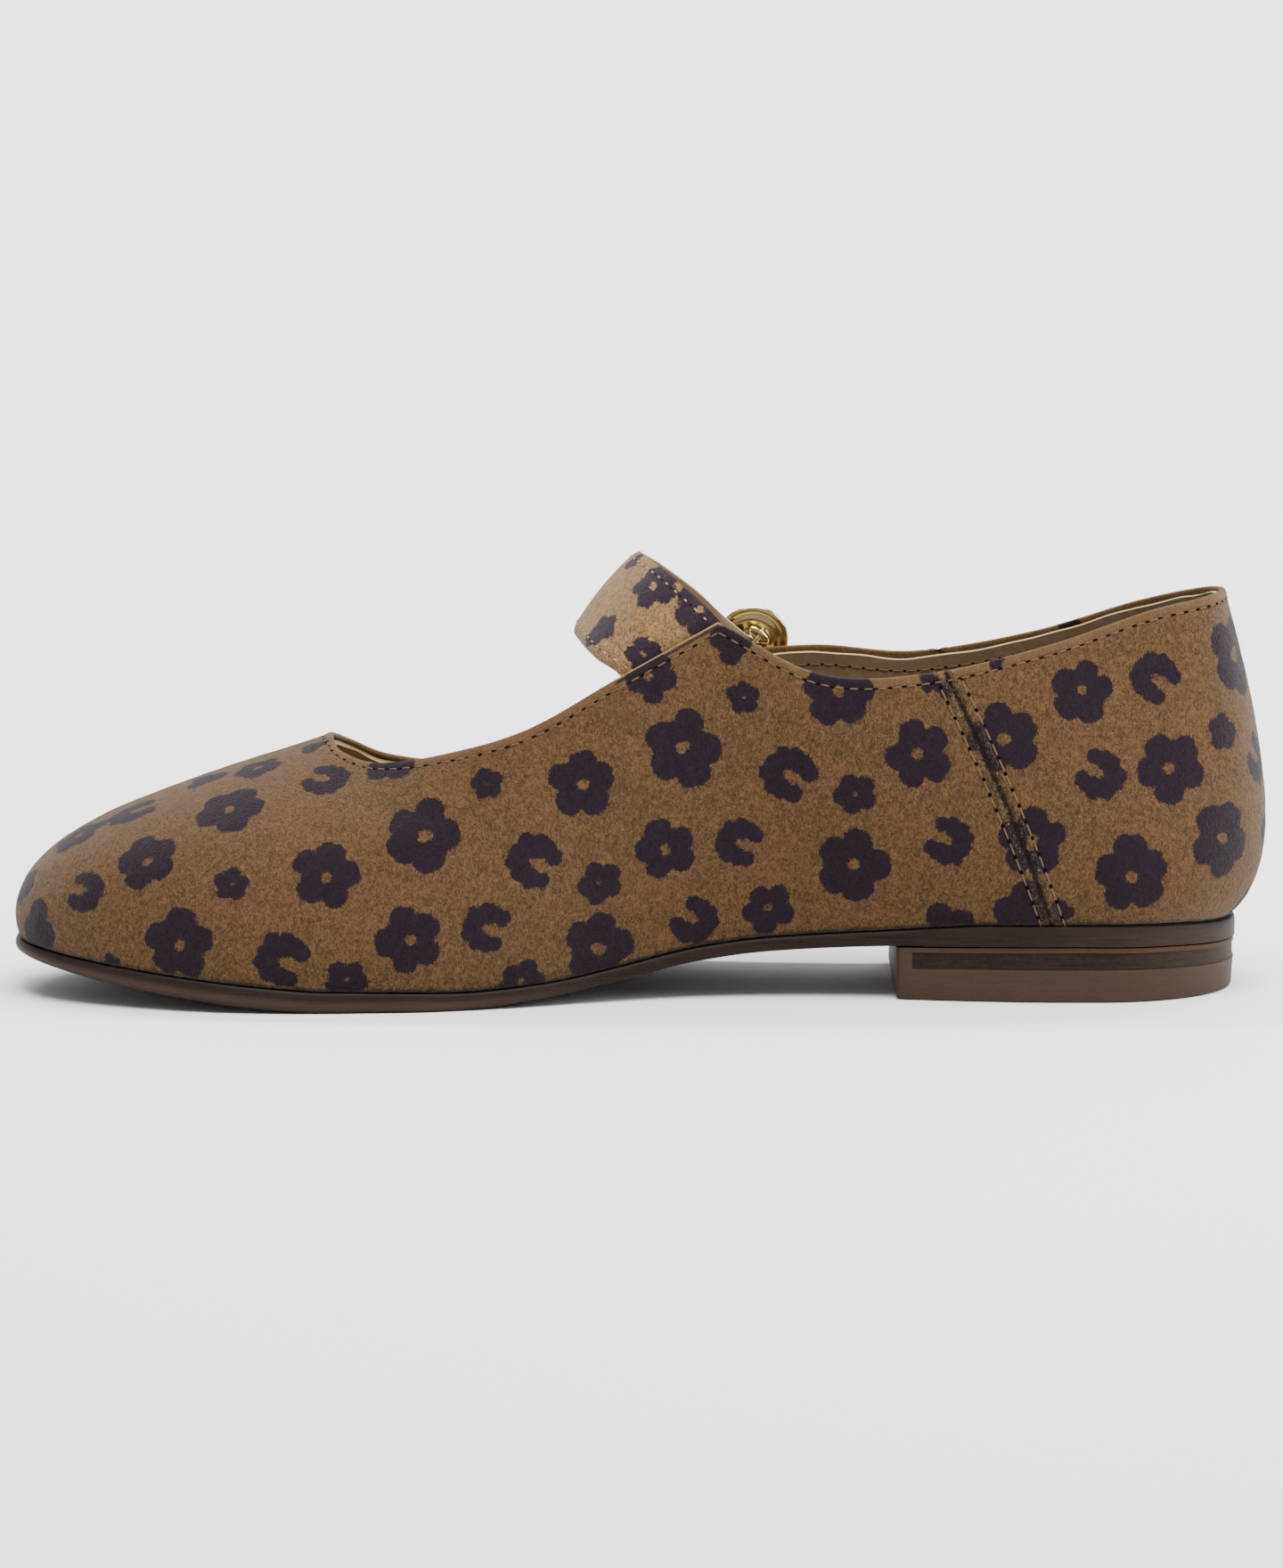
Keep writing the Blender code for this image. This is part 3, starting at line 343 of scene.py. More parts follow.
def bezier(p0, p1, p2, p3, t):
    r = 1.0 - t
    return p0 * r**3 + p1 * (3 * r * r * t) + p2 * (3 * r * t * t) + p3 * t**3


half_width = {
    INNER: monotone([(at, inner) for at, inner, _ in PLAN]),
    OUTER: monotone([(at, outer) for at, _, outer in PLAN]),
}
centre_line = monotone(CENTRE_LINE)
heel_lift = [(at, share * HEEL_HEIGHT) for at, share in HEEL_LIFT]
toe_lift = [(at, share * TOE_SPRING) for at, share in TOE_LIFT]
underside = monotone(heel_lift + toe_lift)
thickness = monotone([(at, share * OUTSOLE_THICKNESS) for at, share in THICKNESS])


def sole_top(share):
    return underside(share) + thickness(share)


def end_rounding(share):
    """How far the outline has opened from its two rounded ends: 0 at either tip, 1 between them."""
    from_heel = min(share * SOLE_LENGTH / HEEL_END_RADIUS, 1.0)
    from_toe = min((1.0 - share) * SOLE_LENGTH / TOE_END_LENGTH, 1.0)
    heel = math.sqrt(max(1.0 - (1.0 - from_heel) ** 2, 0.0))
    toe = max(1.0 - (1.0 - from_toe) ** TOE_ROUNDNESS, 0.0) ** (1.0 / TOE_ROUNDNESS)
    return heel * toe


def loop_share(turn):
    """Share of the length at a turn round the outline: 0 heel, up the inner side to 0.5 toe, and back."""
    return (1.0 - math.cos(2.0 * math.pi * turn)) / 2.0


def turn_at(share, side):
    turn = math.acos(1.0 - 2.0 * min(max(share, 0.0), 1.0)) / (2.0 * math.pi)
    return turn if side == INNER else 1.0 - turn


def outline(turn, inset=0.0):
    """A point of the sole's outline in plan, moved in from the edge by the inset."""

    def edge(t):
        share = loop_share(t)
        side = INNER if (t % 1.0) < 0.5 else OUTER
        across = centre_line(share) + side * half_width[side](share) * end_rounding(share)
        return Vector((share_to_x(share), across))

    step = 0.002
    along = edge(turn + step) - edge(turn - step)
    outward = Vector((-along.y, along.x)).normalized()
    return edge(turn) - outward * inset, outward


def cross_ties(count):
    """Faces that join point i of a ring to point -i, for a ring whose point 0 lies on one end."""
    half = count // 2
    faces = [(0, 1, count - 1)]
    faces += [(i, i + 1, count - i - 1, count - i) for i in range(1, half - 1)]
    if count % 2:
        faces.append((half - 1, half, half + 1, half + 2))
    else:
        faces.append((half - 1, half, half + 1))
    return faces


def plan_ring(turns, inset, height):
    """A closed ring round the sole's outline, its height read from the share of the length."""
    ring = []
    for turn in turns:
        point, _ = outline(turn, inset)
        ring.append(Vector((point.x, point.y, height(loop_share(turn)))))
    return ring


class Upper:
    """The outer face of the upper, as lines up the wall from the feather line to the topline."""

    def __init__(self):
        self.stations = [(HEEL_STATION, INNER)]
        self.stations += [(row, INNER) for row in INNER_STATIONS]
        self.stations += [(TOE_STATION, OUTER)]
        self.stations += [(row, OUTER) for row in OUTER_STATIONS]
        self.count = len(self.stations)

    def blended(self, value, place, breaks=False):
        """A value read between stations on a smooth closed curve, which may break at corners."""
        i = math.floor(place)
        t = place - i
        before, start, end, after = (value(i + k) for k in (-1, 0, 1, 2))
        start_tangent = (end - before) / 2
        end_tangent = (after - start) / 2
        if breaks and self.stations[i % self.count][0].corner:
            start_tangent = end - start
        if breaks and self.stations[(i + 1) % self.count][0].corner:
            end_tangent = end - start
        return hermite(start, end, start_tangent, end_tangent, t)

    def foot_turn(self, index):
        row, side = self.stations[index % self.count]
        turn = 0.0 if index % self.count == 0 else turn_at(row.foot, side)
        return turn + index // self.count

    def top(self, index):
        row, side = self.stations[index % self.count]
        return Vector((share_to_x(row.along), side * row.across, row.height))

    def field(self, name, place):
        return self.blended(lambda i: getattr(self.stations[i % self.count][0], name), place)

    def line(self, place):
        """The four control points of the wall at a place round the upper."""
        turn = self.blended(self.foot_turn, place)
        plan, outward = outline(turn, FEATHER_INSET)
        foot = Vector((plan.x, plan.y, sole_top(loop_share(turn)) + GAP))
        top = self.blended(self.top, place, breaks=True)
        out = Vector((outward.x, outward.y, 0.0))
        up = Vector((0.0, 0.0, 1.0))
        tall = top.z - foot.z
        low = foot + up * (self.field("rise", place) * tall) + out * (self.field("flare", place) * tall)
        high = top - up * (self.field("drop", place) * tall) + out * (self.field("spread", place) * tall)
        return foot, low, high, top

    def point(self, place, height):
        return bezier(*self.line(place), height)

    def normal(self, place, height):
        step = 0.01
        across = self.point(place + step, height) - self.point(place - step, height)
        up = self.point(place, min(height + step, 1.0)) - self.point(place, height - step)
        return up.cross(across).normalized()

    def side_point(self, x, z, start_place, start_height=0.8):
        """The place and height on the wall that a side view shows at (x, z)."""
        place, height = start_place, start_height
        step = 0.001
        for _ in range(12):
            here = self.point(place, height)
            by_place = (self.point(place + step, height) - here) / step
            by_height = (self.point(place, height + step) - here) / step
            miss_x, miss_z = x - here.x, z - here.z
            det = by_place.x * by_height.z - by_height.x * by_place.z
            place += (miss_x * by_height.z - miss_z * by_height.x) / det
            height += (miss_z * by_place.x - miss_x * by_place.z) / det
        return place, height


upper = Upper()


def side_view(share, height):
    """A point of the side view, as x and z."""
    return Vector((share_to_x(share), height))


class BuckleSeat:
    """Axes on the outer quarter at the buckle: u down the strap, v across it, n off the wall."""

    def __init__(self):
        self.centre = side_view(*BUCKLE_CENTRE)
        self.down = Vector((math.cos(BUCKLE_SLOPE), -math.sin(BUCKLE_SLOPE)))
        self.rear = Vector((math.sin(BUCKLE_SLOPE), math.cos(BUCKLE_SLOPE)))
        self.place = upper.count - EAR_REAR
        place, height = upper.side_point(self.centre.x, self.centre.y, self.place)
        self.origin = upper.point(place, height)
        self.n = upper.normal(place, height)
        slope = Vector((self.down.x, 0.0, self.down.y))
        self.u = (slope - self.n * slope.dot(self.n)).normalized()
        self.v = self.u.cross(self.n).normalized()
        if self.v.z < 0.0:
            self.v = -self.v

    def at(self, u, v, n):
        return self.origin + self.u * u + self.v * v + self.n * n

    def on_wall(self, u, v, n):
        """A point at a distance n off the wall itself, below the buckle."""
        flat = self.centre + self.down * u + self.rear * v
        place, height = upper.side_point(flat.x, flat.y, self.place)
        return upper.point(place, height) + upper.normal(place, height) * n


seat = BuckleSeat()


def strap_over_bar(u):
    """Height of the strap's outer face off the wall as it climbs over the buckle's bar."""
    slot = BUCKLE_LENGTH / 2 - BUCKLE_BAND
    rise = 2 * BAR_RADIUS + GAP
    low = GAP + STRAP_THICKNESS
    away = min(abs(u) / slot, 1.0)
    return low + rise * (1.0 + math.cos(math.pi * away)) / 2


def strap_edges():
    """The strap's outer face as pairs of edge points, from inside the ear to the free end."""
    pairs = []
    inside = UPPER_WALL + GAP
    deep = 1.0 - STRAP_ANCHOR_LENGTH / EAR_FRONT_HEIGHT
    ends = (EAR_FRONT - 0.05, EAR_REAR - 0.05)
    for height in (deep, (1.0 + deep) / 2, 1.0):
        pairs.append([upper.point(at, height) - upper.normal(at, height) * inside for at in ends])
    for line in STRAP_LINES:
        pair = []
        for along, across, tall in line:
            pair.append(Vector((share_to_x(along), across * STRAP_SPAN / 2, tall * STRAP_CREST_HEIGHT)))
        pairs.append(pair)
    half = STRAP_END_WIDTH / 2
    low = GAP + STRAP_THICKNESS
    landing = STRAP_LANDING * BUCKLE_LENGTH
    pairs.append((seat.at(landing, -half, low), seat.at(landing, half, low)))
    return pairs


def through(points, place):
    """A point on a smooth curve through the given points."""
    i = min(int(place), len(points) - 2)
    t = place - i
    start, end = points[i], points[i + 1]
    before = points[i - 1] if i > 0 else start * 2 - end
    after = points[i + 2] if i + 2 < len(points) else end * 2 - start
    return hermite(start, end, (end - before) / 2, (after - start) / 2, t)


def strap_rows():
    """Rows of points across the strap's outer face along its whole length."""
    pairs = strap_edges()
    front, rear = zip(*pairs)
    shares = [c / STRAP_COLUMNS for c in range(STRAP_COLUMNS + 1)]
    rows = []
    anchored = 2 * STRAP_STEPS
    free = (len(pairs) - 1) * STRAP_STEPS
    for k in range(free):
        a, b = through(front, k / STRAP_STEPS), through(rear, k / STRAP_STEPS)
        ahead = through(front, (k + 0.1) / STRAP_STEPS) - a
        off = (b - a).cross(ahead).normalized()
        crown = STRAP_CROWN * max(math.sin(math.pi * (k - anchored) / (free - anchored)), 0.0)
        rows.append([a.lerp(b, t) + off * (4 * crown * t * (1.0 - t)) for t in shares])
    half = STRAP_END_WIDTH / 2
    slot = BUCKLE_LENGTH / 2 - BUCKLE_BAND
    tail = STRAP_TAIL_LENGTH - half
    first = STRAP_LANDING * BUCKLE_LENGTH
    count = math.ceil((tail - first) / STRAP_STEP)
    for step in range(1, count + 1):
        u = first + (tail - first) * step / count
        lay = seat.at if u <= slot else seat.on_wall
        rows.append([lay(u, half * (2 * t - 1.0), strap_over_bar(u)) for t in shares])
    for k in range(1, END_STEPS + 1):
        turn = END_BLUNTNESS * (math.pi / 2) * k / END_STEPS
        u, wide = tail + half * math.sin(turn), half * math.cos(turn)
        rows.append([seat.on_wall(u, wide * (2 * t - 1.0), GAP + STRAP_THICKNESS) for t in shares])
    return rows


def prong_line():
    """The prong's rise from the bar through the strap: its two ends."""
    start = seat.at(0.0, 0.0, bar_height())
    reach = (ring_height() + BUCKLE_HALF_DEPTH - bar_height()) / math.tan(PRONG_LEAN)
    return start, seat.at(-reach, 0.0, ring_height() + BUCKLE_HALF_DEPTH + 0.7 * PRONG_RADIUS)


def bar_height():
    return GAP + BAR_RADIUS


def ring_height():
    return GAP + STRAP_THICKNESS + GAP + BUCKLE_HALF_DEPTH


def ring_path(share):
    """The ring at a share of the way in from its obround rim to its squarer opening, as (u, v)."""
    radius = BUCKLE_LENGTH / 2
    straight = BUCKLE_WIDTH / 2 - radius
    half_u, half_v = radius - 1.12 * BUCKLE_BAND, STRAP_END_WIDTH / 2 + GAP
    path = []
    for i in range(RING_COLUMNS):
        turn = 2 * math.pi * (i + 0.5) / RING_COLUMNS
        u, v = math.cos(turn), math.sin(turn)
        rim = Vector((u * radius, v * radius + math.copysign(straight, v)))
        powers = abs(u) ** OPENING_SQUARENESS + abs(v) ** OPENING_SQUARENESS
        squared = powers ** (-1.0 / OPENING_SQUARENESS)
        path.append(rim.lerp(Vector((u * squared * half_u, v * squared * half_v)), share))
    return path


def hump(distance, centre, width):
    """A smooth rise of 1 at the centre, gone within about two widths."""
    return np.exp(-(((distance - centre) / width) ** 2))


def seam_offset(x, z):
    """How far a point of the side view lies behind the side seam, and how far up it."""
    run_x, run_z = SEAM_TOP[0] - SEAM_FOOT[0], SEAM_TOP[1] - SEAM_FOOT[1]
    length = math.hypot(run_x, run_z)
    from_x, from_z = x - SEAM_FOOT[0], z - SEAM_FOOT[1]
    along = (from_x * run_x + from_z * run_z) / length
    return (from_x * run_z - from_z * run_x) / length - seam_bow(along / length), along


def seam_bow(share):
    """How far the seam bows back from the straight line between its ends."""
    return 4.0 * SEAM_BOW * share * (1.0 - share)


def bezier_grid(lines, t):
    """Points of each column's curve at its own row of t values."""
    r = 1.0 - t
    weights = np.stack([r**3, 3 * r * r * t, 3 * r * t * t, t**3], axis=2)
    return np.einsum("crk,ckx->crx", weights, lines)


class Wall:
    """The upper's outer face as a grid: columns round the shoe, rows from the topline down."""

    def __init__(self):
        self.places = self.spread()
        lines = np.array([[tuple(p) for p in upper.line(place)] for place in self.places])
        samples = np.tile(np.linspace(1.0, 0.0, WALL_SAMPLES), (len(lines), 1))
        curve = bezier_grid(lines, samples)
        steps = np.linalg.norm(np.diff(curve, axis=1), axis=2)
        fallen = np.concatenate([np.zeros((len(lines), 1)), np.cumsum(steps, axis=1)], axis=1)
        self.length = fallen[:, -1]
        edge = np.array(EDGE_ROWS) * MM
        body = math.ceil((self.length.max() - edge[-1]) / ROW_STEP)
        shares = np.arange(1, body + 1) / body
        rest = edge[-1] + (self.length[:, None] - edge[-1]) * shares
        self.down = np.concatenate([np.tile(edge, (len(lines), 1)), rest], axis=1)
        at = np.stack([np.interp(d, f, s) for d, f, s in zip(self.down, fallen, samples)])
        self.points = bezier_grid(lines, at)
        across = np.roll(self.points, -1, axis=0) - np.roll(self.points, 1, axis=0)
        along = np.gradient(self.points, axis=1)
        self.normals = np.cross(across, along)
        self.normals /= np.linalg.norm(self.normals, axis=2, keepdims=True)
        self.columns, self.rows = self.down.shape

    def spread(self):
        """Places round the upper, closer together where the side seams run."""
        low = min(SEAM_FOOT[0], SEAM_TOP[0]) - SEAM_REACH
        high = max(SEAM_FOOT[0], SEAM_TOP[0]) + SEAM_REACH
        places = []
        for i in range(upper.count):
            ends = [(upper.point(i, h), upper.point(i + 1, h)) for h in (0.1, 0.5, 1.0)]
            span = max((end - start).length for start, end in ends)
            by_seam = any(low < p.x < high for pair in ends for p in pair)
            count = math.ceil(span / (SEAM_COLUMN_STEP if by_seam else COLUMN_STEP))
            places += [i + k / count for k in range(count)]
        return places

    def relief(self, look):
        """How far the suede stands off the wall: its edge, stitch lines, seams, foot and creases."""
        x, z = self.points[..., 0], self.points[..., 2]
        off, along = seam_offset(x, z)
        up = self.length[:, None] - self.down
        pull = np.cos(math.pi * along / SEAM_STITCHES.pitch) ** 2
        pucker = 0.55 + 0.55 * pull + 0.25 * np.sin(along / (0.9 * MM))
        high = look.edge_roll * hump(self.down, 1.5 * MM, 1.3 * MM)
        high -= look.stitch_sink * hump(self.down, EDGE_ROWS[STITCH_ROW] * MM, 0.6 * MM)
        high -= look.seam_depth * hump(off, 0.0, 0.65 * MM) * pucker
        high += look.seam_ridge * hump(np.abs(off), 1.35 * MM, 0.65 * MM) * pucker
        high -= look.stitch_sink * hump(np.abs(off), look.seam_stitch, 0.5 * MM)
        high -= look.foot_tuck * hump(up, 0.0, 1.2 * MM)
        for crease in CREASES:
            high += crease_height(*crease, self.points)
        soft = [[noise.noise(Vector(p) * 55.0) for p in column] for column in self.points]
        fuzz = [[noise.noise(Vector(p) * 380.0) for p in column] for column in self.points]
        high = high + look.waviness * np.array(soft) * np.clip(self.down / (8.0 * MM), 0.0, 1.0)
        return high + look.fuzz * np.array(fuzz)

    def rounded(self, radius):
        """How far a rounded top edge falls back at each row."""
        short = np.clip(radius - self.down, 0.0, radius)
        return radius - np.sqrt(radius**2 - short**2)

    def moved(self, amount):
        return self.points + self.normals * amount[..., None]


@lru_cache(maxsize=1)
def upper_wall():
    return Wall()


# Soft creases and swells, listed: side, ends by share of the length and height, width and height in mm
CREASES = [
    (INNER, (0.735, 0.0400), (0.640, 0.0390), 2.2, -0.22),
    (INNER, (0.730, 0.0360), (0.650, 0.0340), 3.0, 0.18),
    (INNER, (0.560, 0.0470), (0.520, 0.0330), 6.0, -0.35),
    (INNER, (0.430, 0.0600), (0.455, 0.0300), 7.0, 0.30),
    (INNER, (0.250, 0.0560), (0.190, 0.0400), 6.0, -0.30),
    (INNER, (0.120, 0.0640), (0.070, 0.0400), 7.0, -0.30),
    (OUTER, (0.735, 0.0380), (0.640, 0.0360), 2.2, -0.20),
    (OUTER, (0.560, 0.0430), (0.520, 0.0300), 6.0, -0.35),
    (OUTER, (0.470, 0.0500), (0.440, 0.0300), 7.0, 0.25),
    (OUTER, (0.160, 0.0600), (0.090, 0.0400), 7.0, -0.30),
]


def crease_height(side, start, end, width, depth, points):
    """Height of one soft crease over the points, read by how far they lie from its line in the side view."""
    start_x, start_z = side_view(*start)
    run_x, run_z = side_view(*end) - side_view(*start)
    x, y, z = points[..., 0], points[..., 1], points[..., 2]
    t = np.clip(((x - start_x) * run_x + (z - start_z) * run_z) / (run_x**2 + run_z**2), 0.0, 1.0)
    away = np.hypot(x - start_x - t * run_x, z - start_z - t * run_z)
    fade = np.sin(math.pi * (0.15 + 0.7 * t))
    return np.where(y * side > 0.0, depth * MM * fade * hump(away, 0.0, width * MM), 0.0)


def view_ray(x, y):
    """The eye, and the direction from it through a pixel of the 1440 x 1760 view."""
    ahead = Vector((0.0, math.cos(VIEW_ELEVATION), -math.sin(VIEW_ELEVATION)))
    up = Vector((0.0, math.sin(VIEW_ELEVATION), math.cos(VIEW_ELEVATION)))
    across = Vector((1.0, 0.0, 0.0)) * (x - PHOTO_WIDTH / 2)
    ray = ahead * VIEW_PIXELS + across + up * (PHOTO_HEIGHT / 2 - y)
    return VIEW_TARGET - ahead * VIEW_DISTANCE, ray.normalized()


# A hooked shape's lobes: degrees round from the way it opens, reach and radius as shares of its own
HOOK = [
    (43, 0.70, 0.32), (70, 0.62, 0.34), (103, 0.68, 0.32), (141, 0.76, 0.27), (176, 0.62, 0.34),
    (210, 0.74, 0.28),
    (247, 0.64, 0.33), (284, 0.62, 0.32), (315, 0.70, 0.31), (85, 0.46, 0.30), (125, 0.44, 0.31),
    (165, 0.43, 0.30),
    (205, 0.43, 0.30), (240, 0.45, 0.30), (275, 0.47, 0.29),
]
Spot = namedtuple("Spot", "centre normal right up blobs bare radius")


def blobs_of(kind, radius, turn, rng):
    """The round blobs that a printed shape is made of, and those of its bare middle, as (u, v, radius)."""
    blobs, bare = [], []

    def add(kept, degrees, reach, size):
        angle = turn + math.radians(degrees)
        kept.append((reach * radius * math.cos(angle), reach * radius * math.sin(angle), size * radius))

    if kind == "flower":
        for k in range(5):
            middle, half = 72 * k + rng.uniform(-7, 7), rng.uniform(4, 10)
            reach = rng.uniform(0.60, 0.69)
            for side in (-half, half):
                add(blobs, middle + side, reach * rng.uniform(0.96, 1.04), rng.uniform(0.29, 0.34))
            add(blobs, middle, 0.40, 0.36)
            add(blobs, middle + 36, 0.42, rng.uniform(0.27, 0.32))
        add(blobs, 0, 0.0, 0.50)
        add(bare, rng.uniform(0, 360), 0.05, rng.uniform(0.13, 0.16))
        add(bare, rng.uniform(0, 360), 0.11, rng.uniform(0.10, 0.14))
    elif kind == "small":
        for k in range(5):
            add(blobs, 72 * k + rng.uniform(-8, 8), rng.uniform(0.52, 0.60), rng.uniform(0.40, 0.46))
        add(blobs, 0, 0.0, 0.66)
        add(bare, 0, 0.0, 0.11)
    elif kind == "hook":
        for degrees, reach, size in HOOK:
            add(blobs, degrees + rng.uniform(-4, 4), reach, size * rng.uniform(0.94, 1.06))
        add(bare, 180, 0.06, 0.12)
        add(bare, 0, 0.12, 0.14)
        add(bare, 0, 0.38, 0.13)
    else:
        for k in range(3):
            add(blobs, 120 * k + rng.uniform(-20, 20), 0.45, rng.uniform(0.45, 0.62))
    return blobs, bare


def spot_on(centre, normal, kind, radius, turn, rng):
    right = Vector((1.0, 0.0, 0.0))
    right = (right - normal * right.dot(normal)).normalized()
    blobs, bare = blobs_of(kind, radius, turn, rng)
    return Spot(centre, normal, right, normal.cross(right), blobs, bare, radius)


def charted_spots(surfaces):
    """The charted shapes, each laid on the surface that the view shows at its middle."""
    rng = random.Random(SEED)
    spots = {name: [] for name in surfaces}
    for x, y, size, kind, turn in CHART:
        eye, ray = view_ray(x, y)
        hits = [(tree.ray_cast(eye, ray), name) for name, tree in surfaces.items()]
        hits = [(hit[3], name, hit[0], hit[1]) for hit, name in hits if hit[0] is not None]
        if not hits:
            continue
        distance, name, centre, normal = min(hits)
        if normal.dot(ray) > 0.0:
            normal = -normal
        radius = 0.5 * size * distance / VIEW_PIXELS
        spots[name].append(spot_on(centre, normal, kind, radius, math.radians(turn), rng))
    return spots


def filled_spots(points, normals, spots, rng):
    """Further shapes where the view doesn't reach, spaced as the charted ones are."""
    placed = list(spots)
    hidden = np.flatnonzero(normals @ np.array(view_ray(PHOTO_WIDTH / 2, PHOTO_HEIGHT / 2)[1]) > -0.10)
    if not len(hidden):
        return placed
    for kinds in FILLING:
        for _ in range(FILLING_TRIES):
            kind, size = rng.choice(kinds)
            index = int(hidden[rng.randrange(len(hidden))])
            centre, radius = Vector(points[index]), 0.5 * size * rng.uniform(0.94, 1.06)
            spacing = MOTIF_SPACING * rng.uniform(1.0, 1.4)
            if all((centre - s.centre).length > radius + s.radius + spacing for s in placed):
                turn = rng.uniform(0.0, 2.0 * math.pi)
                placed.append(spot_on(centre, Vector(normals[index]), kind, radius, turn, rng))
    return placed


def print_distance(points, normals, spots):
    """Distance in millimetres from each point to the nearest printed edge, negative inside the print."""
    found = np.full(len(points), 9.0)
    for spot in spots:
        away = points - np.array(spot.centre)
        reach = np.linalg.norm(away, axis=1)
        near = (reach < 1.5 * spot.radius) & (normals @ np.array(spot.normal) > 0.0)
        away, reach = away[near], reach[near]
        u, v = away @ np.array(spot.right), away @ np.array(spot.up)
        spread = reach / np.maximum(np.hypot(u, v), 1e-6)
        u, v = u * spread, v * spread
        shape = np.min([np.hypot(u - bu, v - bv) - br for bu, bv, br in spot.blobs], axis=0)
        for bu, bv, br in spot.bare:
            shape = np.maximum(shape, br - np.hypot(u - bu, v - bv))
        found[near] = np.minimum(found[near], shape / MM)
    return found


def grid_tree(points, columns, rows, wraps):
    """A search tree over a grid of points, for finding what a ray meets."""
    return BVHTree.FromPolygons(points.reshape(-1, 3).tolist(), grid_faces(columns, rows, wraps, False))


def grid_faces(columns, rows, wraps_columns, wraps_rows):
    """Quads over a grid of points stored column by column."""
    faces = []
    for c in range(columns if wraps_columns else columns - 1):
        here, there = c * rows, ((c + 1) % columns) * rows
        for r in range(rows if wraps_rows else rows - 1):
            s = (r + 1) % rows
            faces.append((here + r, there + r, there + s, here + s))
    return faces


def added(name, data):
    """A new object of the scene's."""
    obj = bpy.data.objects.new(name, data)
    bpy.context.scene.collection.objects.link(obj)
    return obj


def baked(obj):
    """A new mesh of what an object's modifiers or its curve make."""
    return bpy.data.meshes.new_from_object(obj.evaluated_get(bpy.context.evaluated_depsgraph_get()))


def faced_out(mesh, merged=0.0):
    """Turns a mesh's faces outwards, its points merged first where they lie closer than a distance."""
    work = bmesh.new()
    work.from_mesh(mesh)
    if merged:
        bmesh.ops.remove_doubles(work, verts=work.verts[:], dist=merged)
    bmesh.ops.recalc_face_normals(work, faces=work.faces[:])
    work.to_mesh(mesh)
    work.free()
    mesh.shade_smooth()


def new_piece(name, points, faces, finishes):
    """A named piece with its place in its mesh, its faces turned outwards."""
    mesh = bpy.data.meshes.new(name)
    mesh.from_pydata([tuple(p) for p in points], [], faces)
    for finish in finishes:
        mesh.materials.append(finish)
    faced_out(mesh)
    return added(name, mesh)


def keep_values(obj, name, values):
    """Stores a number at each point of a piece, for its finish to read."""
    attribute = obj.data.attributes.new(name, "FLOAT", "POINT")
    attribute.data.foreach_set("value", np.asarray(values, dtype=np.float32).ravel())


def crease_edges(obj, angle):
    obj.data.set_sharp_from_angle(angle=math.radians(angle))


class Signal:
    """One output of a node. Arithmetic on it places the Math nodes."""

    def __init__(self, net, socket):
        self.net = net
        self.socket = socket

    def math(self, operation, *values):
        return self.net.node("ShaderNodeMath", dict(enumerate(values)), operation=operation)

    def __add__(self, other):
        return self.math("ADD", self, other)

    def __sub__(self, other):
        return self.math("SUBTRACT", self, other)

    def __rsub__(self, other):
        return self.math("SUBTRACT", other, self)

    def __mul__(self, other):
        return self.math("MULTIPLY", self, other)

    __radd__ = __add__
    __rmul__ = __mul__

    def size(self):
        return self.math("ABSOLUTE", self)

    def rise(self, low, high):
        """0 below low, 1 above high and smooth between them."""
        inputs = {"Value": self, "From Min": low, "From Max": high}
        return self.net.node("ShaderNodeMapRange", inputs, interpolation_type="SMOOTHSTEP")

    def near(self, middle, reach):
        """1 at the middle and 0 beyond the reach from it."""
        return 1.0 - (self - middle).size().rise(0.0, reach)


class Net:
    """A node tree that is built from Python expressions."""

    def __init__(self, tree):
        self.tree = tree

    def node(self, kind, inputs=None, output=0, **settings):
        made = self.tree.nodes.new(kind)
        for key, value in settings.items():
            setattr(made, key, value)
        for key, value in (inputs or {}).items():
            for each in value if isinstance(value, list) else [value]:
                self.feed(made.inputs[key], each)
        return Signal(self, made.outputs[output])

    def feed(self, socket, value):
        if isinstance(value, Signal):
            self.tree.links.new(value.socket, socket)
        else:
            socket.default_value = value

    def value(self, name):
        """A number kept at the piece's points."""
        return self.node("ShaderNodeAttribute", None, "Fac", attribute_name=name)

    def place(self, scale=(1.0, 1.0, 1.0)):
        """The point in the shoe's own metres, stretched by a scale."""
        here = self.node("ShaderNodeTexCoord", None, "Object")
        return self.node("ShaderNodeMapping", {"Vector": here, "Scale": scale})

    def along(self):
        """The point's place along the shoe."""
        return self.node("ShaderNodeSeparateXYZ", {0: self.place()})

    def grain(self, size, detail=2.0, roughness=0.5, distortion=0.0, stretch=(1.0, 1.0, 1.0)):
        """Soft noise from 0 to 1, its features about a size in millimetres across."""
        inputs = {"Vector": self.place(stretch), "Scale": 1.0 / (size * MM), "Detail": detail}
        inputs.update({"Roughness": roughness, "Distortion": distortion})
        return self.node("ShaderNodeTexNoise", inputs)

    def mix(self, factor, first, second):
        return self.node("ShaderNodeMix", {0: factor, 6: first, 7: second}, 2, data_type="RGBA")

    def range(self, factor, colour, low, high):
        """A colour from a darker to a lighter shade of it."""
        return self.mix(factor, shaded(colour, low), shaded(colour, high))

    def bump(self, height, distance, strength=1.0):
        """A bump, its distance in millimetres."""
        inputs = {"Height": height, "Distance": distance * MM, "Strength": strength}
        return self.node("ShaderNodeBump", inputs)


def rgb(red, green, blue):
    """A colour of the view as linear values."""
    shares = [value / 255 for value in (red, green, blue)]
    return tuple(s / 12.92 if s <= 0.04045 else ((s + 0.055) / 1.055) ** 2.4 for s in shares)


def shaded(colour, factor=1.0):
    return (*(factor * c for c in colour), 1.0)


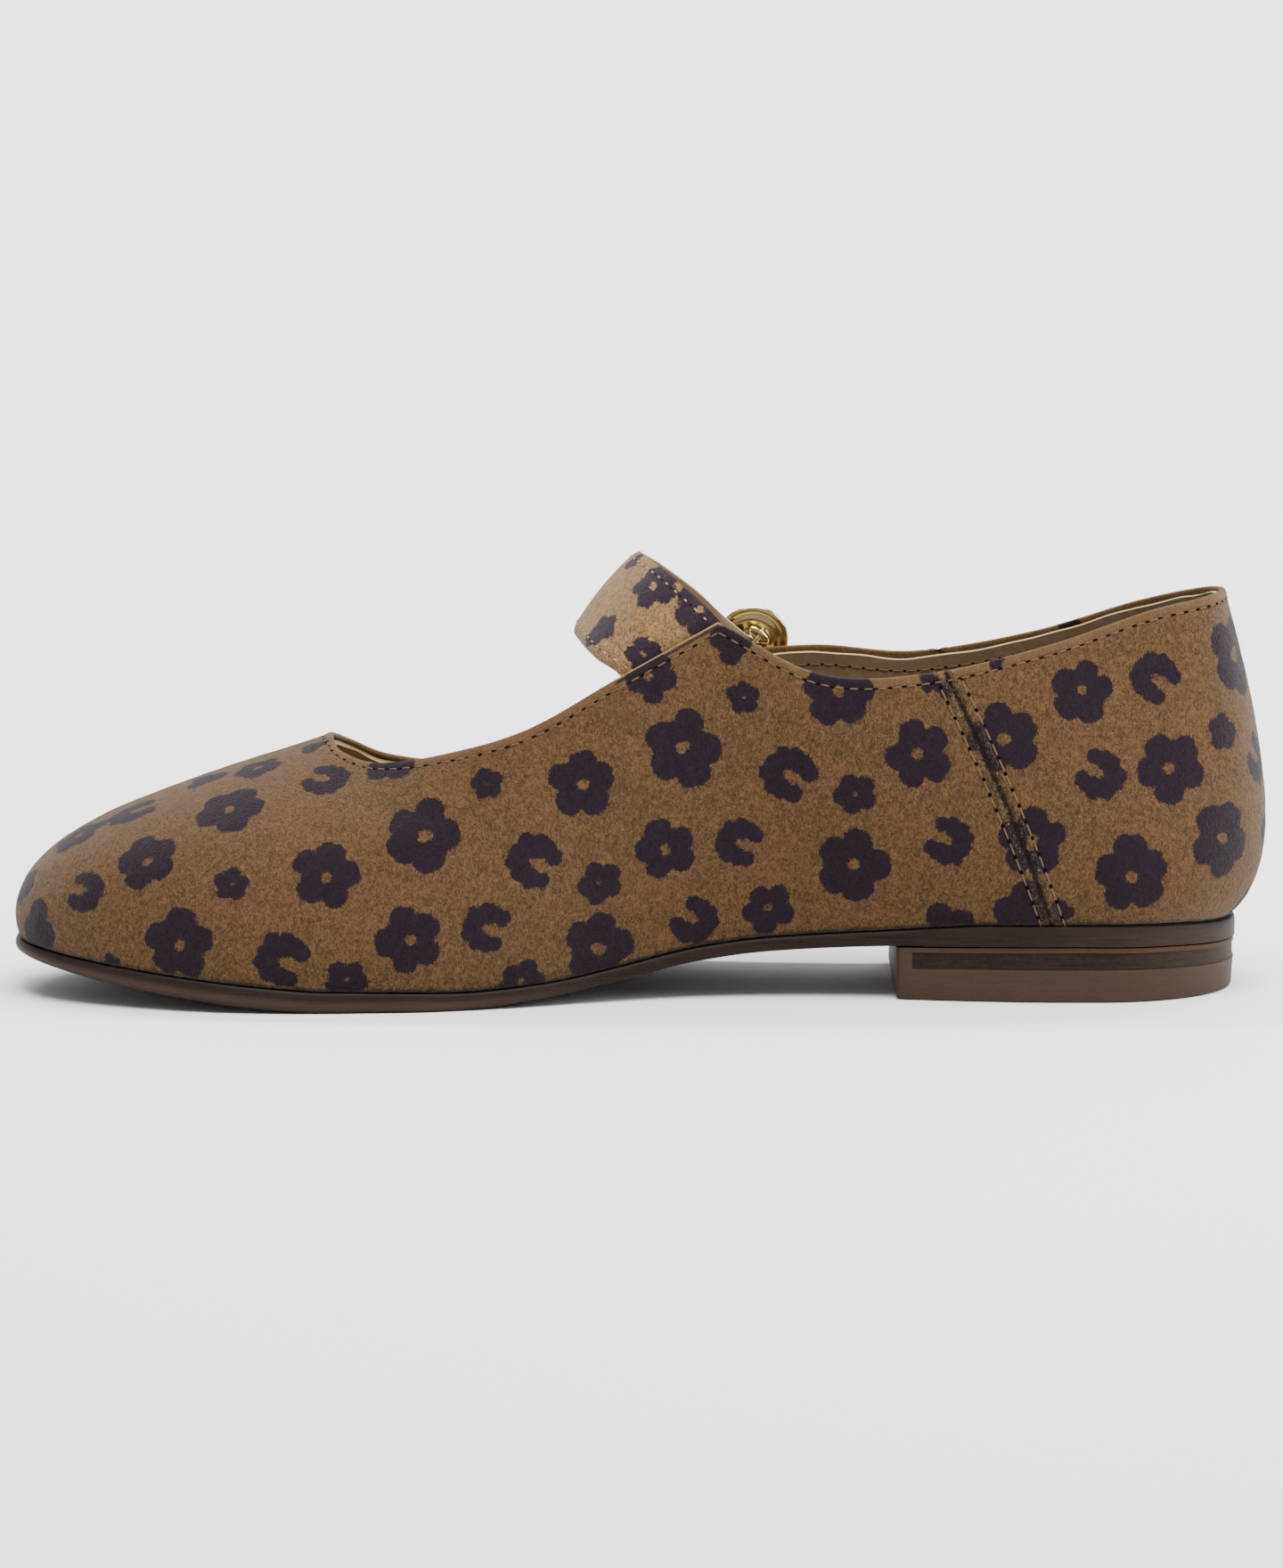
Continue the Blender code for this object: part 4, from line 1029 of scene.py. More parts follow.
def painted(name, paint, roughness, specular=0.5, **constants):
    """A material by name, painted once: constants for its shader, then what varies over the surface."""
    known = bpy.data.materials.get(name)
    if known:
        return known
    material = bpy.data.materials.new(name)
    material.use_nodes = True
    shader = material.node_tree.nodes["Principled BSDF"]
    constants = {key.replace("_", " "): value for key, value in constants.items()}
    for socket, value in {"Roughness": roughness, "Specular IOR Level": specular, **constants}.items():
        shader.inputs[socket].default_value = value
    net = Net(material.node_tree)
    for socket, signal in paint(net).items():
        net.feed(shader.inputs[socket], signal)
    return material


def suede_finish(name, look, tan, warm, ink):
    """Suede with a dark print, a painted highlight on its rolled edge, a dark seam line and patches of
    painted shade beside it, painted shadow under the ear's raw cut edge and painted shade at its foot, and
    the raw cut edge at the ear.
    """

    def paint(net):
        fibre = net.grain(0.50, 2.0, 0.6, 1.6, (1.0, 1.0, 0.65))
        nap = net.grain(1.5, 3.0, 0.6, 1.6, (1.0, 1.0, 0.75))
        cloud = net.grain(15, 2.0, 0.5, 0.6)
        lump = net.grain(1.3, 2.0, 0.6, 1.0)
        tone = (fibre * 1.7 + nap * 0.5 + cloud * 0.15).rise(0.90, 1.48)
        hue = cloud.rise(0.30, 0.70) * 0.7 + nap * 0.3
        colour = net.mix(hue, net.range(tone, tan, 0.58, 1.62), net.range(tone, warm, 0.58, 1.62))
        down = net.value("down")
        # Painted highlight: the rolled topline gets a lighter copy of the tan, for the light it catches from
        # above.
        fold_highlight = 1.0 - down.rise(1.4, 2.1)
        colour = net.mix(fold_highlight * 0.50, colour, shaded(tan, 1.75))
        edge = net.value("print") + (nap - 0.5) * 0.9 + (fibre - 0.5) * 0.8
        inked = net.range(fibre.rise(0.3, 0.7), ink, 0.70, 1.50)
        colour = net.mix(1.0 - edge.rise(-0.22, 0.26), colour, inked)
        seam = (net.value("seam") + (lump - 0.5) * 2.2).size()
        strip = 1.0 - seam.rise(1.4, 2.1)
        # Painted shade: patches of the shadow colour in the puckered strip beside the seam.
        colour = net.mix(strip * nap.rise(0.48, 0.60) * 0.5, colour, shaded(look.shadow))
        # Painted shade: a dark line in the shadow colour along the seam's groove.
        line = (1.0 - seam.rise(0.20, 0.80)) * lump.rise(0.34, 0.46)
        colour = net.mix(line * 0.95, colour, shaded(look.shadow, 0.5))
        tuft = strip * seam.rise(0.4, 0.9) * fibre.rise(0.55, 0.70)
        colour = net.mix(tuft * 0.40, colour, shaded(look.raw_edge))
        raw = net.value("raw")
        # Painted shadow: a dark band in the shadow colour just below the ear's raw cut edge.
        below = raw * down.near(0.85, 0.60) * lump.rise(0.26, 0.42)
        colour = net.mix(below, colour, shaded(look.shadow))
        cut = raw * (1.0 - down.rise(0.12, 0.40)) * lump.rise(0.30, 0.44)
        colour = net.mix(cut * 0.9, colour, shaded(look.raw_edge))
        # Painted shade: the suede darkens in a fuzzy band at its foot, where it meets the sole.
        foot = 1.0 - (net.value("foot") + (nap - 0.5) * 1.6).rise(0.2, 1.0)
        colour = net.mix(foot * 0.8, colour, shaded(look.shadow))
        height = fibre * 0.55 + nap * 0.45 + strip * lump * 1.6
        return {"Base Color": colour, "Normal": net.bump(height, 0.42)}

    return painted(name, paint, 0.95, 0.10, Sheen_Weight=0.12, Sheen_Roughness=0.45)


def lining_finish(name, lining):
    """Smooth lining with a soft grain."""

    def paint(net):
        grain = net.grain(1.1, 3.0, 0.6)
        tone = (grain * 0.5 + net.grain(24) * 0.5).rise(0.3, 0.75)
        return {"Base Color": net.range(tone, lining, 0.82, 1.15), "Normal": net.bump(grain, 0.10, 0.6)}

    return painted(name, paint, 0.62, 0.3)


def lining_edge_finish(look):
    """The light cut edge of the lining."""

    def paint(net):
        grain = net.grain(0.9, 3.0, 0.6)
        colour = net.range(grain, look.cut_edge, 0.8, 1.15)
        return {"Base Color": colour, "Normal": net.bump(grain, 0.12, 0.7)}

    return painted("lining_cut_edge", paint, 0.7)


def sole_finish(look):
    """Dark brown sole edge with a drawn grain, lighter low down at the forefoot and toe with a painted
    highlight, and dark at its top with painted shade.
    """

    def paint(net):
        level = net.value("level")
        drawn = net.grain(9, 4.0, 0.7, 0.4, (1.0, 1.0, 26.0))
        speck = net.grain(0.7)
        fore = 1.0 - net.along().rise(-40 * MM, 0.0)
        back = net.along().rise(70 * MM, 116 * MM)
        # Painted highlight along the middle of the rounded edge at the forefoot and toe; the edge is also
        # lighter towards the heel end.
        light = fore * level.near(0.36, 0.44) * 0.9 + back * 0.45
        tone = (drawn * 0.8 + speck * 0.2).rise(0.30, 0.70)
        dark, pale = net.range(tone, look.sole, 0.45, 1.85), net.range(tone, look.sole_highlight, 0.85, 1.15)
        # Painted shade: the top of the edge darkens in the shadow colour, under the upper.
        line = (level + (speck - 0.5) * 0.2).rise(0.62, 0.84)
        colour = net.mix(line * 0.6, net.mix(light, dark, pale), shaded(look.shadow))
        under = 1.0 - level.rise(0.0, 0.03)
        ribs = net.node("ShaderNodeTexWave", {"Vector": net.place(), "Scale": 160.0}, wave_profile="SIN")
        height = drawn * 0.3 + speck * 0.1 + under * ribs * 1.4
        return {"Base Color": colour, "Normal": net.bump(height, 0.15, 0.7)}

    return painted("sole_edge_brown", paint, 0.55, 0.14)


def heel_finish(look):
    """Beige-brown heel block with a light rib at its top and a dark drawn band sunk below it, the band
    lightened with painted light towards the back.
    """

    def paint(net):
        level, band = net.value("level"), net.value("band")
        drawn = net.grain(10, 4.0, 0.7, 0.5, (1.0, 1.0, 24.0))
        speck = net.grain(0.8)
        tone = (drawn * 0.7 + speck * 0.3).rise(0.30, 0.70)
        block, dark = net.range(tone, look.heel, 0.90, 1.10), net.range(tone, look.sole, 0.45, 1.95)
        top = level.rise(0.895, 0.925) * net.along().rise(52 * MM, 62 * MM)
        # Painted light: towards the heel's back the dark band lightens to the block's colour, where the lamp
        # beside the heel lights it.
        wear_and_painted_light = net.along().rise(88 * MM, 122 * MM) * band * 0.35
        rib = net.range(tone, look.rib, 0.75, 1.2)
        colour = net.mix(top, net.mix(band.rise(0.2, 0.8), block, dark), rib)
        height = drawn * band + speck * 0.3
        return {"Base Color": net.mix(wear_and_painted_light, colour, block), "Normal": net.bump(height, 0.15, 0.7)}

    return painted("heel_beige_brown", paint, 0.6, 0.16)


def insole_finish(look):
    """Smooth light leather of the footbed, its tone varying in soft clouds."""

    def paint(net):
        pores = {"Vector": net.place(), "Scale": 1.0 / (0.9 * MM)}
        grain = net.node("ShaderNodeTexVoronoi", pores, feature="F1")
        cloud = net.grain(30, 3.0)
        colour = net.range(cloud.rise(0.3, 0.7), look.insole, 0.88, 1.08)
        return {"Base Color": colour, "Normal": net.bump(grain + cloud * 0.5, 0.08, 0.6)}

    return painted("insole_leather", paint, 0.55, 0.35)


def brass_finish(look):
    """Polished pale gold metal with faint wear."""

    def paint(net):
        haze = net.grain(3.0, 3.0)
        colour = net.range(haze, look.brass, 0.92, 1.05)
        # Faint wear: the roughness varies in soft patches.
        wear_and_painted_light = haze * 0.12 + 0.14
        return {"Base Color": colour, "Roughness": wear_and_painted_light, "Normal": net.bump(net.grain(0.5), 0.01, 0.4)}

    return painted("pale_gold_metal", paint, 0.2, Metallic=1.0)


def thread_finish(name, colour):
    """Waxed thread with its twist."""

    def paint(net):
        twist = net.grain(0.35)
        return {"Base Color": net.range(twist, colour, 0.7, 1.25), "Normal": net.bump(twist, 0.05)}

    return painted(name, paint, 0.6)


def hole_shade_finish(look):
    """Painted shade of a needle hole, for the dark flattened balls that stand in for the holes."""

    def paint(net):
        return {"Base Color": net.range(net.grain(0.3), look.shadow, 0.25, 0.5)}

    return painted("needle_hole", paint, 1.0, 0.0)


def stitch_tree():
    """Geometry nodes: stitches and, between them, dark flattened balls of painted shade for the needle
    holes, along runs of edges.
    """
    known = bpy.data.node_groups.get("stitch_row")
    if known:
        return known
    tree = bpy.data.node_groups.new("stitch_row", "GeometryNodeTree")

    def ask_for(kind, *names, direction="INPUT"):
        for name in names:
            tree.interface.new_socket(name, in_out=direction, socket_type="NodeSocket" + kind)

    ask_for("Geometry", "Geometry")
    ask_for("Float", "Pitch", "Length", "Thread radius", "Rise", "Hole radius", "Hole stretch")
    ask_for("Material", "Thread", "Hole")
    ask_for("Geometry", "Geometry", direction="OUTPUT")
    net = Net(tree)

    def geo(kind, inputs, **settings):
        return net.node("GeometryNode" + kind, inputs, **settings)

    def vector(**parts):
        return net.node("ShaderNodeCombineXYZ", parts)

    def aligned(axis, inputs, **settings):
        return net.node("FunctionNodeAlignRotationToVector", inputs, axis=axis, **settings)

    given = tree.nodes.new("NodeGroupInput")
    ask = {socket.name: Signal(net, socket) for socket in given.outputs if socket.name}
    run = geo("MeshToCurve", {"Mesh": ask["Geometry"]})
    points = geo("CurveToPoints", {"Curve": run, "Length": ask["Pitch"]}, mode="LENGTH")
    tangent = Signal(net, points.socket.node.outputs["Tangent"])
    turn = aligned("Z", {"Vector": geo("InputNamedAttribute", {"Name": "lift"}, data_type="FLOAT_VECTOR")})
    turn = aligned("X", {"Rotation": turn, "Vector": tangent}, pivot_axis="Z")
    half = ask["Length"] * 0.5
    start, end = (vector(X=half * side, Z=ask["Rise"] * -1.0) for side in (-1.0, 1.0))
    bend = {"Resolution": 5, "Start": start, "Middle": vector(Z=ask["Rise"] * 2.0), "End": end}
    section = geo("CurvePrimitiveCircle", {"Resolution": 6, "Radius": ask["Thread radius"]})
    arch = geo("CurveQuadraticBezier", bend)
    stitch = geo("CurveToMesh", {"Curve": arch, "Profile Curve": section, "Fill Caps": True})
    # Painted shade: each needle hole is a dark flattened ball, not a cut.
    ball = geo("MeshIcoSphere", {"Radius": ask["Hole radius"], "Subdivisions": 2})
    aside, flat = vector(X=ask["Pitch"] * 0.5), vector(X=ask["Hole stretch"], Y=1.0, Z=0.4)
    ball = geo("Transform", {"Geometry": ball, "Translation": aside, "Scale": flat})
    mark = {"Geometry": ball, "Name": "hole", "Value": True}
    ball = geo("StoreNamedAttribute", mark, data_type="BOOLEAN", domain="FACE")
    both = geo("JoinGeometry", {"Geometry": [ball, stitch]})
    made = geo("InstanceOnPoints", {"Points": points, "Instance": both, "Rotation": turn})
    made = geo("RealizeInstances", {"Geometry": made})
    made = geo("SetMaterial", {"Geometry": made, "Material": ask["Thread"]})
    marked = geo("InputNamedAttribute", {"Name": "hole"}, data_type="BOOLEAN")
    made = geo("SetMaterial", {"Geometry": made, "Selection": marked, "Material": ask["Hole"]})
    net.feed(tree.nodes.new("NodeGroupOutput").inputs["Geometry"], made)
    return tree


def stitched(name, runs, look, thread, row):
    """A piece of stitches along runs, each run a list of (point, normal)."""
    mesh = bpy.data.meshes.new(name)
    edges, start = [], 0
    for run in runs:
        edges += [(start + i, start + i + 1) for i in range(len(run) - 1)]
        start += len(run)
    mesh.from_pydata([tuple(p) for run in runs for p, _ in run], edges, [])
    lifts = [tuple(n) for run in runs for _, n in run]
    attribute = mesh.attributes.new("lift", "FLOAT_VECTOR", "POINT")
    attribute.data.foreach_set("vector", np.array(lifts, dtype=np.float32).ravel())
    holder = added(name + "_run", mesh)
    modifier = holder.modifiers.new("stitches", "NODES")
    modifier.node_group = stitch_tree()
    wanted = {
        "Pitch": row.pitch,
        "Length": row.length,
        "Thread radius": look.thread_radius,
        "Rise": look.stitch_rise,
        "Hole radius": row.hole,
        "Hole stretch": row.stretch,
        "Thread": thread,
        "Hole": hole_shade_finish(look),
    }
    for socket in modifier.node_group.interface.items_tree:
        if socket.in_out == "INPUT" and socket.name in wanted:
            modifier[socket.identifier] = wanted[socket.name]
    made = baked(holder)
    bpy.data.objects.remove(holder, do_unlink=True)
    made.attributes.remove(made.attributes["hole"])
    made.shade_smooth()
    return added(name, made)


def topline_runs(points, lifts):
    """A stitch line round the topline, broken at the ear's corners."""
    wall = upper_wall()
    line = list(zip(points, lifts))
    line.append(line[0])
    corners = [wall.places.index(EAR_REAR), wall.places.index(EAR_FRONT)]
    bounds = [0] + corners + [len(line) - 1]
    return [line[a + 1:b] for a, b in zip(bounds, bounds[1:])]


def seam_runs(tree, look):
    """Two stitch lines beside each side seam, from the sole to the topline."""
    runs = []
    foot, top = Vector(SEAM_FOOT), Vector(SEAM_TOP)
    up = (top - foot).normalized()
    aside = Vector((up.y, -up.x))
    for side in (INNER, OUTER):
        for away in (-look.seam_stitch, look.seam_stitch):
            run = []
            for k in range(SEAM_SAMPLES + 1):
                share = SEAM_START + (SEAM_ENDS[side] - SEAM_START) * k / SEAM_SAMPLES
                at = foot.lerp(top, share) + aside * (away + seam_bow(share))
                start = Vector((at.x, side * 2.0 * COLLAR_WIDTH, at.y))
                point, normal, _, _ = tree.ray_cast(start, Vector((0.0, -side, 0.0)))
                if point is not None and point.y * side > 0.0:
                    run.append((point, normal if normal.y * side > 0.0 else -normal))
            runs.append(run)
    return runs


def strap_runs(top, normals, look):
    """Stitch lines along both edges of the strap."""
    runs = []
    for near, far in ((0, -1), (-1, 0)):
        run = []
        for row, lift in zip(top, normals):
            width = np.linalg.norm(row[far] - row[near])
            share = look.strap_stitch / width
            if share < 0.42:
                at = share * STRAP_COLUMNS
                low = int(at)
                cells = row if near == 0 else row[::-1]
                run.append((cells[low] + (cells[low + 1] - cells[low]) * (at - low), lift[near]))
        runs.append(run)
    return runs


def make_upper(look):
    """The suede upper: one folded skin from the sole up the outside, over the topline and down inside."""
    wall = upper_wall()
    skin = look.skin
    fall = wall.rounded(skin / 2)
    outside = wall.moved(wall.relief(look) - fall)
    inner_rows = list(range(wall.rows - 1, STITCH_ROW, -6)) + list(range(STITCH_ROW, 0, -1))
    inside = wall.moved(fall - skin)[:, inner_rows]
    points = np.concatenate([outside, inside], axis=1)
    rows = points.shape[1]
    suede = suede_finish("printed_suede", look, look.tan, look.warm, look.ink)
    faces = grid_faces(wall.columns, rows, True, True)
    obj = new_piece("upper_suede", points.reshape(-1, 3), faces, [suede])
    faces_out = np.concatenate([wall.normals, wall.normals[:, inner_rows]], axis=1).reshape(-1, 3)
    down = np.concatenate([wall.down, wall.down[:, inner_rows]], axis=1)
    off, along = seam_offset(points[..., 0], points[..., 2])
    raw = np.broadcast_to(raw_edge(wall)[:, None], down.shape)
    keep_values(obj, "down", down / MM)
    keep_values(obj, "seam", np.clip(off / MM, -9.0, 9.0))
    keep_values(obj, "raw", raw)
    keep_values(obj, "foot", (wall.length[:, None] - down) / MM)
    return obj, points.reshape(-1, 3), faces_out, outside


def raw_edge(wall):
    """1 along the ear's cut edge, where the suede isn't folded, and 0 round the rest of the topline."""
    return np.array([1.0 if EAR_REAR <= place <= EAR_FRONT else 0.0 for place in wall.places])


def make_lining(look):
    """The lining inside the suede, its light cut edge just below the topline."""
    wall = upper_wall()
    outer, inner = look.skin + 0.03 * MM, UPPER_WALL
    fine_end = STITCH_ROW + 4
    rows = [*range(LINING_TOP_ROW, fine_end), *range(fine_end, wall.rows - 1, 5), wall.rows - 1]
    waves = np.array([noise.noise(Vector(p) * 120.0) for p in wall.points[:, LINING_TOP_ROW]])
    at_top = hump(wall.down[:, rows], EDGE_ROWS[LINING_TOP_ROW] * MM, 1.5 * MM)
    drop = look.lining_wave * waves[:, None] * at_top
    lift = np.array([0.0, 0.0, 1.0]) * drop[..., None]
    up_side = (wall.points - wall.normals * inner)[:, rows] + lift
    back = (wall.points - wall.normals * outer)[:, rows[::-1]] + lift[:, ::-1]
    points = np.concatenate([up_side, back], axis=1)
    count = points.shape[1]
    faces = grid_faces(wall.columns, count, True, True)
    finishes = [lining_finish("beige_lining", look.lining), lining_edge_finish(look)]
    obj = new_piece("upper_lining", points.reshape(-1, 3), faces, finishes)
    top = set(range(count - 1, len(faces), count))
    for polygon in obj.data.polygons:
        polygon.material_index = 1 if polygon.index in top else 0
    crease_edges(obj, 50.0)
    down = np.concatenate([wall.down[:, rows], wall.down[:, rows[::-1]]], axis=1)
    keep_values(obj, "down", down / MM)
    return obj


def make_strap(look):
    """The strap: a printed suede face, lined underneath, with rounded cut edges; punch_strap punches its
    holes.
    """
    top = np.array([[tuple(p) for p in row] for row in strap_rows()])
    along, across = np.gradient(top, axis=0), np.gradient(top, axis=1)
    normals = np.cross(across, along)
    normals /= np.linalg.norm(normals, axis=2, keepdims=True)
    if normals[len(normals) // 2, STRAP_COLUMNS // 2, 2] < 0.0:
        normals = -normals
    edge = np.minimum(np.arange(STRAP_COLUMNS + 1), np.arange(STRAP_COLUMNS + 1)[::-1])
    fall = np.where(edge == 0, 0.35, np.where(edge == 1, 0.10, 0.0)) * look.strap_edge
    upper_side = top - normals * fall[None, :, None]
    lower_side = (top - normals * (STRAP_THICKNESS - 0.5 * fall)[None, :, None])[:, ::-1]
    points = np.concatenate([upper_side, lower_side], axis=1)
    rows, ring = points.shape[:2]
    faces = grid_faces(rows, ring, False, True)
    for base in (0, (rows - 1) * ring):
        far = base + ring - 1
        faces += [(base + c, base + c + 1, far - c - 1, far - c) for c in range(STRAP_COLUMNS)]
    # Painted light: the strap's suede uses lighter copies of the upper's colours, for the light on its top.
    suede = suede_finish("printed_suede_strap", look, look.strap_lit_tan, look.strap_lit_warm, look.strap_lit_ink)
    finishes = [suede, lining_finish("strap_lining", look.strap_lining), lining_edge_finish(look)]
    obj = new_piece("strap_suede", points.reshape(-1, 3), faces, finishes)
    for polygon in obj.data.polygons:
        if polygon.index < (rows - 1) * ring:
            c = polygon.index % ring
            polygon.material_index = 0 if c < STRAP_COLUMNS else (2 if c in (STRAP_COLUMNS, ring - 1) else 1)
    crease_edges(obj, 50.0)
    return obj, top, normals


def punch(obj, rods):
    """Cuts round holes through a piece, along rods from point to point."""
    for k, (start, end, radius) in enumerate(rods):
        axis = end - start
        bpy.ops.mesh.primitive_cylinder_add(vertices=24, radius=radius, depth=axis.length)
        rod = bpy.context.object
        rod.data.transform(axis.to_track_quat("Z", "Y").to_matrix().to_4x4())
        rod.data.transform(Matrix.Translation((start + end) / 2))
        cut = obj.modifiers.new(f"hole_{k}", "BOOLEAN")
        cut.operation = "DIFFERENCE"
        cut.solver = "EXACT"
        cut.object = rod
        made = baked(obj)
        obj.modifiers.clear()
        obj.data = made
        bpy.data.objects.remove(rod, do_unlink=True)


def refined(section, fineness):
    """A closed section with further points on a smooth curve between its own."""
    points = [Vector(p) for p in section]
    made = []
    for i, start in enumerate(points):
        before, end, after = points[i - 1], points[(i + 1) % len(points)], points[(i + 2) % len(points)]
        for k in range(fineness):
            made.append(hermite(start, end, (end - before) / 2, (after - start) / 2, k / fineness))
    return made


def make_buckle(look):
    """The oval buckle: its ring with two turned ridges and a dished middle, then its bar and prong."""
    section = RING_SECTION + [(along, -tall) for along, tall in reversed(RING_SECTION[1:-1])]
    section = refined(section, RING_FINENESS)
    points = []
    for along, tall in section:
        height = ring_height() + tall * BUCKLE_HALF_DEPTH
        points += [seat.at(u, v, height) for u, v in ring_path(along)]
    faces = grid_faces(len(section), RING_COLUMNS, True, True)
    ring = new_piece("buckle_ring", points, faces, [brass_finish(look)])
    hole = BUCKLE_WIDTH / 2 - BUCKLE_BAND
    edge = STRAP_END_WIDTH / 2
    low, high = bar_height(), ring_height()
    end = [
        (edge + 2 * BAR_RADIUS, low),
        (hole - BAR_RADIUS, 0.3 * low + 0.7 * high),
        (hole + 0.3 * BUCKLE_BAND, high),
    ]
    bar = [(0.0, -v, height) for v, height in reversed(end)] + [(0.0, v, height) for v, height in end]
    start, bend = prong_line()
    tip = seat.at(0.12 * BUCKLE_BAND - BUCKLE_LENGTH / 2, 0.0, high + 0.9 * BUCKLE_HALF_DEPTH)
    pieces = [ring]
    pieces.append(wire("buckle_bar", [seat.at(*p) for p in bar], BAR_RADIUS, brass_finish(look)))
    pieces.append(wire("buckle_prong", [start, bend, tip], PRONG_RADIUS, brass_finish(look)))
    pieces.append(make_lugs(look))
    return pieces


def make_lugs(look):
    """The two rounded lugs that join the bar's ends to the ring."""
    work = bmesh.new()
    along, across, tall = LUG_SIZE
    for side in (-1.0, 1.0):
        axes = Matrix((seat.u * along, seat.v * across, seat.n * tall)).transposed().to_4x4()
        centre = seat.at(0.0, side * (STRAP_END_WIDTH / 2 + across + 0.5 * GAP), LUG_HEIGHT)
        moved = Matrix.Translation(centre) @ axes
        bmesh.ops.create_icosphere(work, subdivisions=3, radius=1.0, matrix=moved)
    mesh = bpy.data.meshes.new("buckle_lugs")
    work.to_mesh(mesh)
    work.free()
    faced_out(mesh)
    mesh.materials.append(brass_finish(look))
    return added("buckle_lugs", mesh)


def wire(name, path, radius, finish):
    """A round wire with closed ends through the path's points."""
    curve = bpy.data.curves.new(name, "CURVE")
    curve.dimensions = "3D"
    curve.bevel_depth = radius
    curve.bevel_resolution = 3
    curve.use_fill_caps = True
    spline = curve.splines.new("POLY")
    spline.points.add(len(path) - 1)
    for slot, point in zip(spline.points, path):
        slot.co = (*point, 1.0)
    holder = added(name, curve)
    bpy.context.view_layer.update()
    mesh = baked(holder)
    bpy.data.objects.remove(holder, do_unlink=True)
    faced_out(mesh, 0.01 * MM)
    mesh.materials.clear()
    mesh.materials.append(finish)
    obj = added(name, mesh)
    crease_edges(obj, 50.0)
    return obj


def lofted_piece(name, rings, levels, finish, angle=35.0):
    """A closed piece over rings of equal length, capped by ties across, keeping each ring's level."""
    count = len(rings[0])
    points = [point for ring in rings for point in ring]
    faces = grid_faces(len(rings), count, False, True)
    for base in (0, (len(rings) - 1) * count):
        faces += [[base + i for i in face] for face in cross_ties(count)]
    obj = new_piece(name, points, faces, [finish])
    keep_values(obj, "level", np.repeat(levels, count))
    crease_edges(obj, angle)
    return obj


def whole_turns():
    return [i / (2 * SOLE_COLUMNS) for i in range(2 * SOLE_COLUMNS)]


def make_outsole(look):
    """The thin sole with its softly rounded edge."""
    # How far each row's edge draws in, as a share of the edge's rounding, and its level
    rows = [
        (1.00, 0.00), (0.55, 0.04), (0.26, 0.14), (0.10, 0.26), (0.02, 0.40), (0.00, 0.54),
        (0.03, 0.68), (0.10, 0.80), (0.16, 0.90), (0.28, 0.97), (0.42, 1.00),
    ]
    rings = []
    for drawn_in, level in rows:
        ring = []
        for turn in whole_turns():
            share = loop_share(turn)
            on_heel = min(max((BREAST_SHARE - share) / 0.03, 0.0), 1.0)
            inset = drawn_in * SOLE_EDGE_ROUNDING * (1.0 - on_heel * (1.0 - level) ** 0.3)
            point, _ = outline(turn, inset)
            ring.append(Vector((point.x, point.y, underside(share) + level * thickness(share))))
        rings.append(ring)
    return lofted_piece("outsole_edge", rings, [level for _, level in rows], sole_finish(look))


HEEL_CORNER = ((1.5 * MM, 0.0), (0.6 * MM, 0.2 * MM), (0.15 * MM, 0.7 * MM), (0.0, 1.5 * MM))


def make_heel(look):
    """The heel block: a light rib, a sunk dark band and the plain block below it."""
    margin = turn_at(BREAST_SHARE - HEEL_BAND_MARGIN / SOLE_LENGTH, INNER)
    band_end = turn_at(BREAST_SHARE - 1.06 * HEEL_BAND_MARGIN / SOLE_LENGTH, INNER)
    side = [(band_end * i / HEEL_COLUMNS, None, 0.0) for i in range(1, HEEL_COLUMNS + 1)]
    side.append((margin, None, 0.0))
    for away, inward in HEEL_CORNER:
        side.append((turn_at(BREAST_SHARE - away / SOLE_LENGTH, INNER), away, inward))
    loop = [(0.0, None, 0.0)] + side + [(1.0 - turn, away, inward) for turn, away, inward in reversed(side)]
    rib = 1.0 - HEEL_RIB_HEIGHT / HEEL_HEIGHT
    band = rib - HEEL_BAND_HEIGHT / HEEL_HEIGHT
    step = 0.25 * HEEL_BAND_DEPTH / HEEL_HEIGHT
    foot = HEEL_EDGE_ROUNDING / HEEL_HEIGHT
    levels = [
        (1.0, 0.0, 0.0),
        (rib, 0.0, 0.0),
        (rib - step, 0.0, 1.0),
        (0.5 * (rib + band), 0.0, 1.0),
        (band + step, 0.0, 1.0),
        (band, 0.0, 0.0),
        (0.5 * band, 0.6 * HEEL_TAPER, 0.0),
        (foot, HEEL_TAPER, 0.0),
        (0.55 * foot, HEEL_TAPER + 0.12 * HEEL_EDGE_ROUNDING, 0.0),
        (0.20 * foot, HEEL_TAPER + 0.42 * HEEL_EDGE_ROUNDING, 0.0),
        (0.0, HEEL_TAPER + HEEL_EDGE_ROUNDING, 0.0),
    ]
    rings, sunk = [], []
    for level, extra, deep in levels:
        ring = []
        for turn, away, inward in loop:
            inset = deep * HEEL_BAND_DEPTH if min(turn, 1.0 - turn) < 0.5 * (band_end + margin) else 0.0
            point, _ = outline(turn, HEEL_SETBACK + extra + inset + inward)
            top = underside(loop_share(turn)) - GAP
            x = point.x if away is None else share_to_x(BREAST_SHARE) + away + max(extra - HEEL_TAPER, 0.0)
            ring.append(Vector((x, point.y, level * top)))
            sunk.append(1.0 if inset > 0.0 else 0.0)
        rings.append(ring)
    obj = lofted_piece("heel_block", rings, [level for level, _, _ in levels], heel_finish(look), 30.0)
    keep_values(obj, "band", sunk)
    return obj


